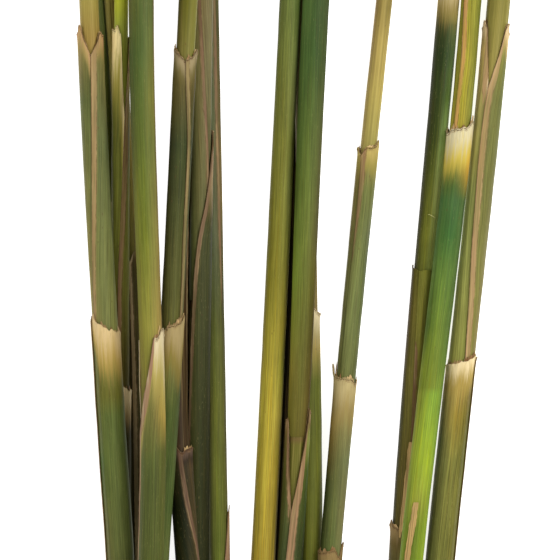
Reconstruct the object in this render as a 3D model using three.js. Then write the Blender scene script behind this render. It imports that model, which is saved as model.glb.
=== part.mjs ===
// A loose bundle of dried reeds lying on a flat surface: seventeen cut culms, all but one wrapped in
// separate leaf sheaths that overlap like the tubes of a telescope. The reeds run along Y
// and rest on the surface and on one another. Millimetres, +Z up, the surface is z = 0.
import * as THREE from "three";

const WALL = 0.28; // thickness of a leaf sheath
const GAP = 0.42; // clearance between a sheath and whatever it wraps
const CULM_SIDES = 9; // facets round a culm
const BORE = 0.56; // hollow of the culm as a share of its radius
const BORE_DEPTH = 7; // how far the hollow is modelled in from a cut end
const SLIT = 5; // half the opening between the two margins of a sheath, degrees
const ROUND = [0, 18, 40, 74, 109, 144, 180, 216, 251, 286, 320, 342, 360]; // where the facets of a sheath turn
const CULM_COLOUR = 0x9d8f4a;
const SHEATH_COLOUR = 0x5d6e38;

// line: the axis of the reed from its butt to its tip, [x, y, z]
// culm: radius of the culm along y, [y, radius]
// sheath: base and top along y, outer radius at base and top, the direction the slit faces
// along y (degrees from +X towards +Z), the depth and half width in degrees of the notch
// where the margins part at the rim, and how far the rim slants and towards which side; a
// power above 1 makes the notch long and narrow
const REEDS = [
  {
    name: "reed_a",
    line: [[-65.58, -218.9, 16.21], [-62.41, -170.49, 17.82], [-58.96, -122.08, 19.48], [-61.16, -73.68, 20.92], [-64.19, -25.27, 20.67], [-67.16, 23.14, 18.62], [-69.92, 71.54, 14.97], [-72.18, 119.95, 12.31], [-74.31, 168.36, 10.77], [-76.57, 216.77, 7.7]],
    culm: [[-218.9, 4.65], [-137.24, 4.45], [-22.21, 3.98], [89.63, 3.64], [216.77, 3.29]],
    sheaths: [
      { base: -137.24, top: -14.44, radius: [5.19, 5.4], seam: [[-137.24, 162], [-14.44, 160]], notch: 1.48, half: 30, slant: 5.18, lean: 180 },
      { base: -28.13, top: 92.26, radius: [4.72, 4.86], seam: [[-28.13, 150], [0, 136], [29.71, 113], [52.1, 100], [92.26, 83]], notch: 8.22, half: 45, slant: 1.12, lean: 180 },
      { base: 128, top: 197.59, radius: [4.21, 4.13], seam: [[128, 150], [197.59, 120]], notch: 9.39, half: 30, slant: 2.25, lean: 0 },
    ],
  },
  {
    name: "reed_b",
    line: [[-60.94, -214.28, 2.95], [-60.64, -167.65, 2.89], [-61.35, -121.03, 2.85], [-63.53, -74.4, 3.52], [-64.54, -27.77, 3.64], [-65.19, 18.86, 3.88], [-66.68, 65.49, 3.35], [-69.95, 112.12, 3.21], [-73.55, 158.75, 3.3], [-77.25, 205.38, 2.26]],
    culm: [[-214.28, 2.93], [-83.24, 2.74], [37.82, 2.55], [205.38, 2.18]],
    sheaths: [
      { base: -83.24, top: 31.76, radius: [3.41, 3.82], seam: [[-83.24, 60], [31.76, 40]], notch: 4.54, half: 30, slant: 1.89, lean: 0 },
      { base: 21.93, top: 163.49, radius: [3.12, 3.22], seam: [[21.93, 20], [163.49, 60]], notch: 11.35, half: 36, slant: 1.89, lean: 180 },
    ],
  },
  {
    name: "reed_c",
    line: [[-61.14, -224.58, 9.33], [-60.53, -174.29, 9.61], [-59.65, -124, 9.81], [-59.68, -73.71, 10.54], [-59.65, -23.42, 12.53], [-59.58, 26.87, 13.58], [-59.49, 77.17, 12.75], [-59.38, 127.46, 10.32], [-59.41, 177.75, 6.03], [-59.39, 228.04, 2.51]],
    culm: [[-224.58, 3.19], [-157.64, 3.1], [-41.19, 2.71], [94.3, 2.66], [101.08, 2.99], [123.74, 2.62], [228.04, 2.37]],
    sheaths: [
      { base: -157.64, top: -39.69, radius: [3.75, 3.98], seam: [[-157.64, -30], [-39.69, -40]], notch: 0.75, half: 30, slant: 1.12, lean: 180 },
      { base: -47.95, top: 93.55, radius: [3.3, 3.37], seam: [[-47.95, 112], [-18.7, 106], [0, 103], [29.88, 80], [52.31, 64], [82.28, 50], [93.55, 40]], notch: 29.19, half: 44, slant: 2.99, lean: 180 },
      { base: 129.81, top: 200.34, radius: [3.19, 3.18], seam: [[129.81, 70], [200.34, 100]], notch: 11.34, half: 30, slant: 1.51, lean: 0 },
    ],
  },
  {
    name: "reed_d",
    line: [[-43.4, -208.99, 30.72], [-45.27, -162.1, 34.09], [-46.93, -115.21, 35.77], [-46.11, -68.31, 35.75], [-47.01, -21.42, 34.04], [-48.88, 25.47, 30.64], [-50.63, 72.36, 25.54], [-51.46, 119.25, 18.76], [-52.25, 166.15, 11.07], [-52.96, 213.04, 4.77]],
    culm: [[-208.99, 4.02], [-130.73, 3.9], [-25.46, 3.64], [149.39, 3.55], [213.04, 3.4]],
    sheaths: [
      { base: -206.74, top: -124.17, radius: [5.02, 5.3], seam: [[-206.74, 80], [-124.17, 60]], notch: 5.08, half: 30, slant: 1.82, lean: 0 },
      { base: -133.65, top: -20.74, radius: [4.63, 4.73], seam: [[-133.65, 178], [-55.56, 172], [-38.16, 150], [-20.74, 134]], notch: 34.93, half: 60, slant: 1.46, lean: 0 },
      { base: -70.41, top: 152.48, radius: [3.9, 4.99], seam: [[-70.41, 4], [29.25, 8], [152.48, 20]], notch: 11.21, half: 36, slant: 1.87, lean: 180 },
    ],
  },
  {
    name: "reed_e",
    line: [[-53.99, -211.2, 3.14], [-54.22, -163.01, 3.11], [-54.6, -114.81, 3.8], [-55.21, -66.61, 3.95], [-56.2, -18.41, 5.38], [-57.95, 29.79, 6.23], [-60.79, 77.98, 5.54], [-64.5, 126.18, 5.84], [-68.29, 174.38, 5.35], [-72.2, 222.58, 3.08]],
    culm: [[-211.2, 3.12], [-121.03, 3.03], [15.08, 2.83], [222.58, 2.46]],
    sheaths: [
      { base: -122.54, top: 12.07, radius: [3.69, 4.09], seam: [[-122.54, 88], [-60.49, 88], [-18.87, 88], [12.07, 88]], notch: 5.28, half: 30, slant: 1.51, lean: 180 },
      { base: 3.77, top: 172.1, radius: [3.39, 3.4], seam: [[3.77, 100], [172.1, 120]], notch: 7.55, half: 30, slant: 1.51, lean: 0 },
    ],
  },
  {
    name: "reed_f",
    line: [[-43.76, -220.76, 6.86], [-45.06, -173.62, 14.42], [-46.38, -126.48, 20.27], [-43.74, -79.34, 24.41], [-40.74, -32.2, 26.84], [-38.14, 14.95, 27.55], [-35.79, 62.09, 26.56], [-33.45, 109.23, 25.45], [-31.04, 156.37, 25.35], [-28.71, 203.52, 23.76]],
    culm: [[-220.76, 4.24], [-118.38, 3.98], [-14.68, 3.71], [82.73, 3.64], [203.52, 3.23]],
    sheaths: [
      { base: -212.86, top: -114.63, radius: [4.79, 5.12], seam: [[-212.86, 120], [-114.63, 100]], notch: 5.18, half: 30, slant: 1.85, lean: 180 },
      { base: -123.65, top: -15.41, radius: [4.44, 4.71], seam: [[-123.65, 150], [-15.41, 140]], notch: 2.94, half: 30, slant: 2.94, lean: 0 },
      { base: -24.23, top: 84.57, radius: [4.04, 4.23], seam: [[-24.23, 40], [0, 43], [14.68, 50], [47.73, 49], [62.45, 66], [75.35, 82], [84.57, 88]], notch: 4.04, half: 64, slant: 1.1, lean: 180 },
    ],
  },
  {
    name: "reed_g",
    line: [[-0.59, -213.55, 2.86], [-1.66, -166.58, 2.78], [-1.6, -119.61, 2.7], [1.11, -72.63, 2.62], [3.36, -25.66, 2.54], [5.18, 21.31, 2.45], [6.82, 68.29, 2.37], [8.52, 115.26, 2.28], [10.26, 162.23, 2.2], [11.99, 209.2, 2.11]],
    culm: [[-213.55, 2.84], [-106.04, 2.65], [106.09, 2.27], [209.2, 2.08]],
    sheaths: [
    ],
  },
  {
    name: "reed_h",
    line: [[-30.48, -212.21, 7.87], [-30.77, -163.06, 8.89], [-31.1, -113.91, 9.99], [-31.05, -64.76, 10.34], [-30.52, -15.61, 11.92], [-29.82, 33.54, 12.26], [-29.11, 82.69, 11.72], [-28.48, 131.84, 11.55], [-27.92, 180.99, 9.57], [-27.43, 230.14, 5.72]],
    culm: [[-212.21, 3.76], [-75.03, 3.66], [56.15, 3.18], [230.14, 2.64]],
    sheaths: [
      { base: -195.53, top: -118.59, radius: [4.98, 5.19], seam: [[-195.53, 60], [-118.59, 40]], notch: 5.25, half: 30, slant: 1.5, lean: 0 },
      { base: -129.13, top: 56.15, radius: [4.5, 4.77], seam: [[-129.13, 155], [-105.06, 150], [-78.04, 140], [-52.49, 134], [0, 112], [14.96, 98], [29.93, 91], [48.66, 83], [56.15, 80]], notch: 41.18, half: 100, slant: 2.25, lean: 0 },
      { base: -7.48, top: 174.88, radius: [3.74, 3.85], seam: [[-7.48, 20], [44.91, 36], [67.39, 62], [104.82, 100], [174.88, 110]], notch: 11.26, half: 34, slant: 1.5, lean: 180 },
    ],
  },
  {
    name: "reed_i",
    line: [[-22.03, -223.84, 3.99], [-22.25, -176.49, 4.19], [-22.81, -129.15, 4.32], [-23.53, -81.8, 4.42], [-24.31, -34.46, 4.42], [-25.13, 12.88, 4.38], [-25.99, 60.23, 3.64], [-26.83, 107.57, 3.63], [-27.67, 154.92, 3.42], [-28.53, 202.26, 2.59]],
    culm: [[-223.84, 3.4], [-86.92, 3.12], [128.6, 2.84], [202.26, 2.56]],
    sheaths: [
      { base: -215.49, top: -85.03, radius: [4.06, 4.4], seam: [[-215.49, -60], [-85.03, -60]], notch: 1.51, half: 30, slant: 90.69, lean: 0 },
      { base: -185.98, top: 140.71, radius: [3.7, 3.59], seam: [[-185.98, 36], [0, 36], [52.96, 42], [140.71, 50]], notch: 9.08, half: 32, slant: 1.51, lean: 180 },
    ],
  },
  {
    name: "reed_k",
    line: [[-32.97, -214.16, 17.2], [-32.47, -166.96, 19.32], [-33.3, -119.76, 19.73], [-36.5, -72.56, 18.42], [-38.05, -25.36, 16.13], [-37.77, 21.84, 15.35], [-36, 69.05, 16.28], [-33.21, 116.25, 17.97], [-30.43, 163.45, 18.06], [-27.75, 210.65, 16.44]],
    culm: [[-214.16, 3.63], [-163.13, 3.52], [-61.67, 3.34], [210.65, 2.7]],
    sheaths: [
      { base: -161.64, top: -60.93, radius: [4.54, 4.46], seam: [[-161.64, -30], [-103.8, 2], [-89.02, 44], [-74.24, 70], [-60.93, 82]], notch: 2.23, half: 30, slant: 1.49, lean: 180 },
      { base: 125.52, top: 191.83, radius: [3.53, 3.46], seam: [[125.52, 60], [191.83, 90]], notch: 9.67, half: 30, slant: 1.49, lean: 0 },
    ],
  },
  {
    name: "reed_l",
    line: [[-9.41, -215.31, 4.74], [-8.71, -167.07, 7.75], [-7.02, -118.83, 8.96], [-4.62, -70.59, 8.45], [-2.28, -22.35, 8.51], [0.02, 25.89, 10.36], [2.33, 74.14, 13.55], [4.69, 122.38, 15.38], [7.05, 170.62, 15.43], [9.42, 218.86, 13.69]],
    culm: [[-215.31, 4.16], [-116.47, 3.95], [104.41, 3.24], [218.86, 2.89]],
    sheaths: [
      { base: -212.22, top: -122.49, radius: [5, 5.31], seam: [[-212.22, 210], [-122.49, 200]], notch: 6.01, half: 30, slant: 1.88, lean: 0 },
      { base: -131.53, top: 128.93, radius: [4.62, 3.86], seam: [[-131.53, 230], [128.93, 230]], notch: 8.94, half: 30, slant: 1.49, lean: 180 },
    ],
  },
  {
    name: "reed_m",
    line: [[0.55, -218.44, 9.83], [1.14, -169.22, 10.58], [3.02, -120, 11.53], [5.87, -70.78, 12.06], [8.07, -21.56, 14.42], [9.99, 27.66, 16.64], [12.09, 76.87, 16.99], [14.68, 126.09, 15.48], [17.3, 175.31, 12.11], [19.95, 224.53, 6.87]],
    culm: [[-218.44, 3.94], [-157.41, 3.84], [-52.35, 3.46], [104.22, 4.09], [145.53, 3.73], [224.53, 3.39]],
    sheaths: [
      { base: -157.41, top: -49.35, radius: [4.78, 4.67], seam: [[-157.41, 140], [-104.87, 112], [-84.62, 99], [-67.36, 95], [-49.35, 89]], notch: 35.14, half: 54, slant: 2.99, lean: 0 },
      { base: -58.35, top: 148.55, radius: [3.93, 5.47], seam: [[-58.35, 10], [7.45, 10], [148.55, 24]], notch: 7.47, half: 30, slant: 1.49, lean: 180 },
      { base: 162.95, top: 212.85, radius: [4.22, 4.21], seam: [[162.95, 70], [212.85, 80]], notch: 7.52, half: 30, slant: 1.5, lean: 0 },
    ],
  },
  {
    name: "reed_n",
    line: [[11.7, -212.64, 3.43], [11.69, -165.06, 3.56], [11.68, -117.47, 4.54], [11.52, -69.88, 4.44], [10.89, -22.29, 5.15], [10.01, 25.3, 6.8], [9.12, 72.89, 8.48], [8.42, 120.47, 8.56], [7.77, 168.06, 6.9], [7.13, 215.65, 3.5]],
    culm: [[-212.64, 3.41], [-120.91, 3.31], [-10.57, 3.02], [215.65, 2.46]],
    sheaths: [
      { base: -123.18, top: -10.94, radius: [4.44, 4.39], seam: [[-123.18, 150], [-10.94, 140]], notch: 4.53, half: 30, slant: 1.51, lean: 180 },
      { base: -19.63, top: 127.84, radius: [3.7, 3.57], seam: [[-19.63, 20], [127.84, 40]], notch: 8.27, half: 30, slant: 1.5, lean: 0 },
    ],
  },
  {
    name: "reed_o",
    line: [[15.72, -220.4, 10.86], [15.88, -171.52, 12.27], [17.47, -122.65, 11.84], [21.4, -73.77, 9.58], [25.96, -24.9, 6.15], [30.81, 23.98, 4.26], [35.91, 72.86, 3.61], [41.19, 121.73, 3.57], [46.48, 170.61, 3.57], [51.78, 219.48, 3.31]],
    culm: [[-220.4, 3.84], [-187.14, 3.74], [-99.69, 3.49], [-37.67, 3.31], [51.42, 3.1], [105.95, 3.12], [219.48, 2.65]],
    sheaths: [
      { base: -187.14, top: -100.06, radius: [4.4, 4.7], seam: [[-187.14, 60], [-100.06, 40]], notch: 3.75, half: 30, slant: 1.87, lean: 0 },
      { base: -107.14, top: -36.17, radius: [4.01, 4.35], seam: [[-107.14, 24], [-36.17, 30]], notch: 3.01, half: 30, slant: 1.51, lean: 180 },
      { base: -44.42, top: 50.67, radius: [3.65, 3.93], seam: [[-44.42, 128], [15.11, 124], [30.24, 122], [50.67, 134]], notch: 3.02, half: 30, slant: 1.13, lean: 0 },
      { base: 127.86, top: 198.23, radius: [3.59, 3.52], seam: [[127.86, 70], [198.23, 80]], notch: 8.32, half: 30, slant: 1.51, lean: 180 },
    ],
  },
  {
    name: "reed_p",
    line: [[43.94, -218.38, 4.6], [43.95, -169.21, 4.85], [45.07, -120.04, 4.86], [48.19, -70.87, 4.62], [52.24, -21.7, 4.53], [56.74, 27.47, 4.31], [61.24, 76.64, 4.11], [65.42, 125.81, 4.05], [69.63, 174.98, 3.12], [73.8, 224.15, 2.88]],
    culm: [[-218.38, 3.87], [-192.61, 3.78], [-92.15, 3.3], [105.83, 3.12], [128.55, 3.31], [224.15, 2.84]],
    sheaths: [
      { base: -198.66, top: -92.53, radius: [4.82, 4.85], seam: [[-198.66, 60], [-92.53, 60]], notch: 2.27, half: 32, slant: 1.51, lean: 180 },
      { base: -101.21, top: 4.53, radius: [4.15, 4.59], seam: [[-101.21, 84], [-60.46, 88], [-30.23, 104], [4.53, 118]], notch: 0.76, half: 30, slant: 1.13, lean: 180 },
      { base: -4.53, top: 114.91, radius: [3.89, 4.16], seam: [[-4.53, -60], [114.91, -60]], notch: 4.54, half: 30, slant: 1.51, lean: 180 },
    ],
  },
  {
    name: "reed_q",
    line: [[44.51, -211.99, 14.25], [45.18, -164.96, 14.84], [47.73, -117.93, 14.69], [52.65, -70.9, 12.96], [58.25, -23.86, 11.76], [63.86, 23.17, 10.69], [69.01, 70.2, 7.93], [73.16, 117.23, 5.1], [77.05, 164.26, 3.98], [80.94, 211.29, 2.83]],
    culm: [[-211.99, 4.01], [-179.01, 3.92], [-82.19, 3.74], [56.36, 3.19], [211.29, 2.75]],
    sheaths: [
      { base: -186.48, top: -123.82, radius: [4.76, 5.01], seam: [[-186.48, 120], [-123.82, 140]], notch: 5.97, half: 36, slant: 1.86, lean: 180 },
      { base: -134.24, top: 57.5, radius: [4.33, 5], seam: [[-134.24, 170], [57.5, 160]], notch: 2.25, half: 30, slant: 1.13, lean: 0 },
      { base: 46.56, top: 169.4, radius: [3.85, 3.88], seam: [[46.56, 130], [67.7, 132], [82.87, 124], [105.65, 140], [169.4, 140]], notch: 11.34, half: 32, slant: 1.51, lean: 0 },
    ],
  },
  {
    name: "reed_r",
    line: [[54.47, -222.79, 5.02], [55.53, -174.18, 5.2], [58.62, -125.57, 5.61], [63.43, -76.96, 5.61], [68.68, -28.35, 5.65], [74.03, 20.26, 5.02], [79.1, 68.86, 5.09], [83.77, 117.47, 4.87], [88.39, 166.08, 4.52], [93.01, 214.69, 4.25]],
    culm: [[-222.79, 5], [-150.93, 4.91], [-33.96, 4.24], [94.39, 4.61], [214.69, 3.78]],
    sheaths: [
      { base: -153.2, top: -29.05, radius: [5.57, 5.6], seam: [[-153.2, 20], [-29.05, 16]], notch: 1.13, half: 30, slant: 3.4, lean: 0 },
      { base: -40.75, top: 94.76, radius: [4.9, 5.1], seam: [[-40.75, 74], [-15.1, 88], [15.1, 106], [45.31, 116], [64.19, 114], [75.51, 102], [95.14, 92]], notch: 21.14, half: 40, slant: 1.89, lean: 180 },
      { base: 133.74, top: 196.49, radius: [4.53, 4.46], seam: [[133.74, 60], [196.49, 80]], notch: 9.82, half: 32, slant: 1.51, lean: 180 },
    ],
  },
];

const rad = (d) => (d * Math.PI) / 180;

// Value at y of a list of [y, value] pairs, straight between them and level beyond them.
function along(list, y) {
  const s = [...list].sort((a, b) => a[0] - b[0]);
  if (y <= s[0][0]) return s[0][1];
  for (let i = 1; i < s.length; i++)
    if (y <= s[i][0]) {
      const t = (y - s[i - 1][0]) / (s[i][0] - s[i - 1][0]);
      return s[i - 1][1] + t * (s[i][1] - s[i - 1][1]);
    }
  return s[s.length - 1][1];
}

const axisX = (line, y) => along(line.map((p) => [p[1], p[0]]), y);
const axisZ = (line, y) => along(line.map((p) => [p[1], p[2]]), y);

const sheathRadius = (s, y) =>
  along([[s.base, s.radius[0]], [s.top, s.radius[1]]], y);

// Radius of the culm at y, never wider than the sheaths round it allow.
function culmRadius(reed, y) {
  let r = along(reed.culm, y);
  for (const s of reed.sheaths)
    if (y >= s.base - 2.01 && y <= s.top + 4.01)
      r = Math.min(r, sheathRadius(s, y) - WALL - GAP - 0.12);
  return r;
}

// Rings of points (same count each) joined into side faces.
function skin(rings, closed, faces, start, count) {
  const n = closed ? count : count - 1;
  for (let i = 0; i < rings - 1; i++)
    for (let j = 0; j < n; j++) {
      const a = start + i * count + j;
      const b = start + i * count + ((j + 1) % count);
      faces.push([a, b, b + count, a + count]);
    }
}

// Each four-sided face is split along its shorter diagonal, so that a twisted wall keeps its thickness.
function solid(points, quads, name, colour) {
  const position = [];
  const push = (...list) => list.forEach((i) => position.push(...points[i]));
  const far = (a, b) => Math.hypot(...points[a].map((v, i) => v - points[b][i]));
  for (const q of quads) {
    if (q.length === 3) push(q[0], q[1], q[2]);
    else if (far(q[0], q[2]) < far(q[1], q[3]) + 1e-6) push(q[0], q[1], q[2], q[0], q[2], q[3]);
    else push(q[0], q[1], q[3], q[1], q[2], q[3]);
  }
  const geometry = new THREE.BufferGeometry();
  geometry.setAttribute("position", new THREE.Float32BufferAttribute(position, 3));
  geometry.computeVertexNormals();
  const mesh = new THREE.Mesh(
    geometry,
    new THREE.MeshStandardMaterial({ color: colour, roughness: 0.6, metalness: 0 }),
  );
  mesh.name = name;
  return mesh;
}

// The woody stem: one solid with a blind hollow at each cut end.
function makeCulm(reed) {
  const y0 = reed.line[0][1];
  const y1 = reed.line[reed.line.length - 1][1];
  const stops = new Set(reed.line.map((p) => p[1]));
  for (const s of reed.sheaths) {
    if (s.top + 4 < y1) stops.add(s.top + 4);
    if (s.base - 2 > y0) stops.add(s.base - 2);
  }
  const ys = [...stops].sort((a, b) => a - b).filter((y, i, all) => i === 0 || i === all.length - 1 || (y - all[i - 1] > 0.8));
  const points = [];
  const ring = (y, r) => {
    const x = axisX(reed.line, y);
    const z = axisZ(reed.line, y);
    for (let j = 0; j < CULM_SIDES; j++) {
      const a = (2 * Math.PI * j) / CULM_SIDES + 0.2;
      points.push([x + r * Math.cos(a), y, z + r * Math.sin(a)]);
    }
  };
  for (const y of ys) ring(y, culmRadius(reed, y));
  const quads = [];
  const n = ys.length;
  skin(n, true, quads, 0, CULM_SIDES);
  const r0 = culmRadius(reed, y0);
  const r1 = culmRadius(reed, y1);
  const bore = n * CULM_SIDES;
  ring(y0, r0 * BORE);
  ring(y0 + BORE_DEPTH, r0 * BORE);
  ring(y1 - BORE_DEPTH, r1 * BORE);
  ring(y1, r1 * BORE);
  for (let j = 0; j < CULM_SIDES; j++) {
    const k = (j + 1) % CULM_SIDES;
    const last = (n - 1) * CULM_SIDES;
    quads.push([bore + j, bore + k, k, j]); // butt end face
    quads.push([bore + j, bore + CULM_SIDES + j, bore + CULM_SIDES + k, bore + k]);
    quads.push([last + j, last + k, bore + 3 * CULM_SIDES + k, bore + 3 * CULM_SIDES + j]); // tip end face
    quads.push([bore + 2 * CULM_SIDES + j, bore + 3 * CULM_SIDES + j, bore + 3 * CULM_SIDES + k, bore + 2 * CULM_SIDES + k]);
    if (j > 0 && k > 0) {
      quads.push([bore + CULM_SIDES, bore + CULM_SIDES + k, bore + CULM_SIDES + j]);
      quads.push([bore + 2 * CULM_SIDES, bore + 2 * CULM_SIDES + j, bore + 2 * CULM_SIDES + k]);
    }
  }
  return solid(points, quads.map((q) => [...q].reverse()), reed.name + "_culm", CULM_COLOUR);
}

// A leaf sheath: a thin strip rolled round the culm, open along a slit, with a notched, slanting rim.
function makeSheath(reed, s, name) {
  const zone = s.top - s.notch - 2 - s.slant;
  const stops = reed.line.map((p) => p[1]).filter((y) => y > s.base + 3 && y < s.top - Math.min(s.slant, 8) - 3);
  // a slit that winds round the culm needs more rings
  const seam = [...s.seam].sort((a, b) => a[0] - b[0]);
  for (let i = 1; i < seam.length; i++) {
    const pieces = Math.ceil(Math.abs(seam[i][1] - seam[i - 1][1]) / 15);
    for (let j = 0; j <= pieces; j++) {
      const y = seam[i - 1][0] + ((seam[i][0] - seam[i - 1][0]) * j) / pieces;
      if (y > s.base + 3 && y < s.top - Math.min(s.slant, 8) - 3 && !stops.some((v) => Math.abs(v - y) < 5)) stops.push(y);
    }
  }
  const ys = [s.base, ...stops.sort((a, b) => a - b), s.top];
  const clean = ys.filter((y, i) => i === 0 || i === ys.length - 1 || y - ys[i - 1] > 2.5);
  const floor = Math.max(s.base, ...clean.filter((y) => y <= zone));
  const turn = ROUND.map((a) => SLIT + (a / 360) * (360 - 2 * SLIT));
  const rim = (theta) => {
    const from = Math.min(theta, 360 - theta);
    const cut = Math.max(0, 1 - from / s.half);
    return s.top - s.notch * cut ** (s.power ?? 1) - (s.slant * (1 - Math.cos(rad(along(s.seam, s.top) + theta - s.lean)))) / 2;
  };
  const points = [];
  const layer = (inset) => {
    for (const y of clean)
      for (const theta of turn) {
        const at = y <= floor ? y : floor + ((y - floor) * (rim(theta) - floor)) / (s.top - floor);
        const a = rad(along(s.seam, at) + theta);
        const r = sheathRadius(s, at) - inset;
        points.push([axisX(reed.line, at) + r * Math.cos(a), at, axisZ(reed.line, at) + r * Math.sin(a)]);
      }
  };
  layer(0);
  layer(WALL);
  const m = turn.length;
  const n = clean.length;
  const inner = n * m;
  const quads = [];
  skin(n, false, quads, 0, m);
  const inside = [];
  skin(n, false, inside, inner, m);
  quads.push(...inside.map((q) => [...q].reverse()));
  const last = (n - 1) * m;
  for (let j = 0; j < m - 1; j++) {
    quads.push([inner + j, inner + j + 1, j + 1, j]);
    quads.push([last + j, last + j + 1, inner + last + j + 1, inner + last + j]);
  }
  for (let i = 0; i < n - 1; i++) {
    const a = i * m;
    quads.push([inner + a, a, a + m, inner + a + m]);
    const b = i * m + m - 1;
    quads.push([b, inner + b, inner + b + m, b + m]);
  }
  return solid(points, quads.map((q) => [...q].reverse()), name, SHEATH_COLOUR);
}

const group = new THREE.Group();
group.name = "bundle_of_dried_reeds";
for (const reed of REEDS) {
  group.add(makeCulm(reed));
  reed.sheaths.forEach((s, i) => group.add(makeSheath(reed, s, reed.name + "_sheath_" + (i + 1))));
}

// Set the bundle down: lowest point on z = 0 and the middle of its outline on the origin.
group.updateMatrixWorld(true);
const box = new THREE.Box3().setFromObject(group, true);
group.position.set(-(box.min.x + box.max.x) / 2, -(box.min.y + box.max.y) / 2, -box.min.z);

export default group;
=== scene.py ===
import bpy
import math
import numpy as np
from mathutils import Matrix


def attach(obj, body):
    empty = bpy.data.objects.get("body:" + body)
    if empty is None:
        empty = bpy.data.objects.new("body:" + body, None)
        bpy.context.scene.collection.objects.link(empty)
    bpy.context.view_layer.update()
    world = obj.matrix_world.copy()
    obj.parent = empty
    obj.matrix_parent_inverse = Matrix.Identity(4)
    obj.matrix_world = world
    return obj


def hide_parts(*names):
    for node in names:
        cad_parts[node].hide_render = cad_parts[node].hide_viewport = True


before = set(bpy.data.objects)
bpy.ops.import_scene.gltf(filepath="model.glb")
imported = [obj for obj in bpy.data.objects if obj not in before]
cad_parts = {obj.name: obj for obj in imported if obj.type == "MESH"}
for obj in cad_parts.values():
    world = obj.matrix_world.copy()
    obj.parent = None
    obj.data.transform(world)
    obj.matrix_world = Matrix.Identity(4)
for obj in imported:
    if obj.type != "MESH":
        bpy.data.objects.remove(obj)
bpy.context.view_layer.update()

# ---------------------------------------------------------------- the bundle
# Sizes in millimetres. SHIFT moves the table of reeds into the row frame.
SHIFT = np.array([-8.4456, -2.7800, 0.1922])
UNIT = 0.38      # one step of the stations used below, at the height of the floor
EYE = 798.0      # height of the camera over the floor
WALL = 0.26
TURN = 34.0      # how far the two margins of a sheath overlap, degrees
BORE = 0.56
BORE_DEPTH = 7.0

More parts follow.
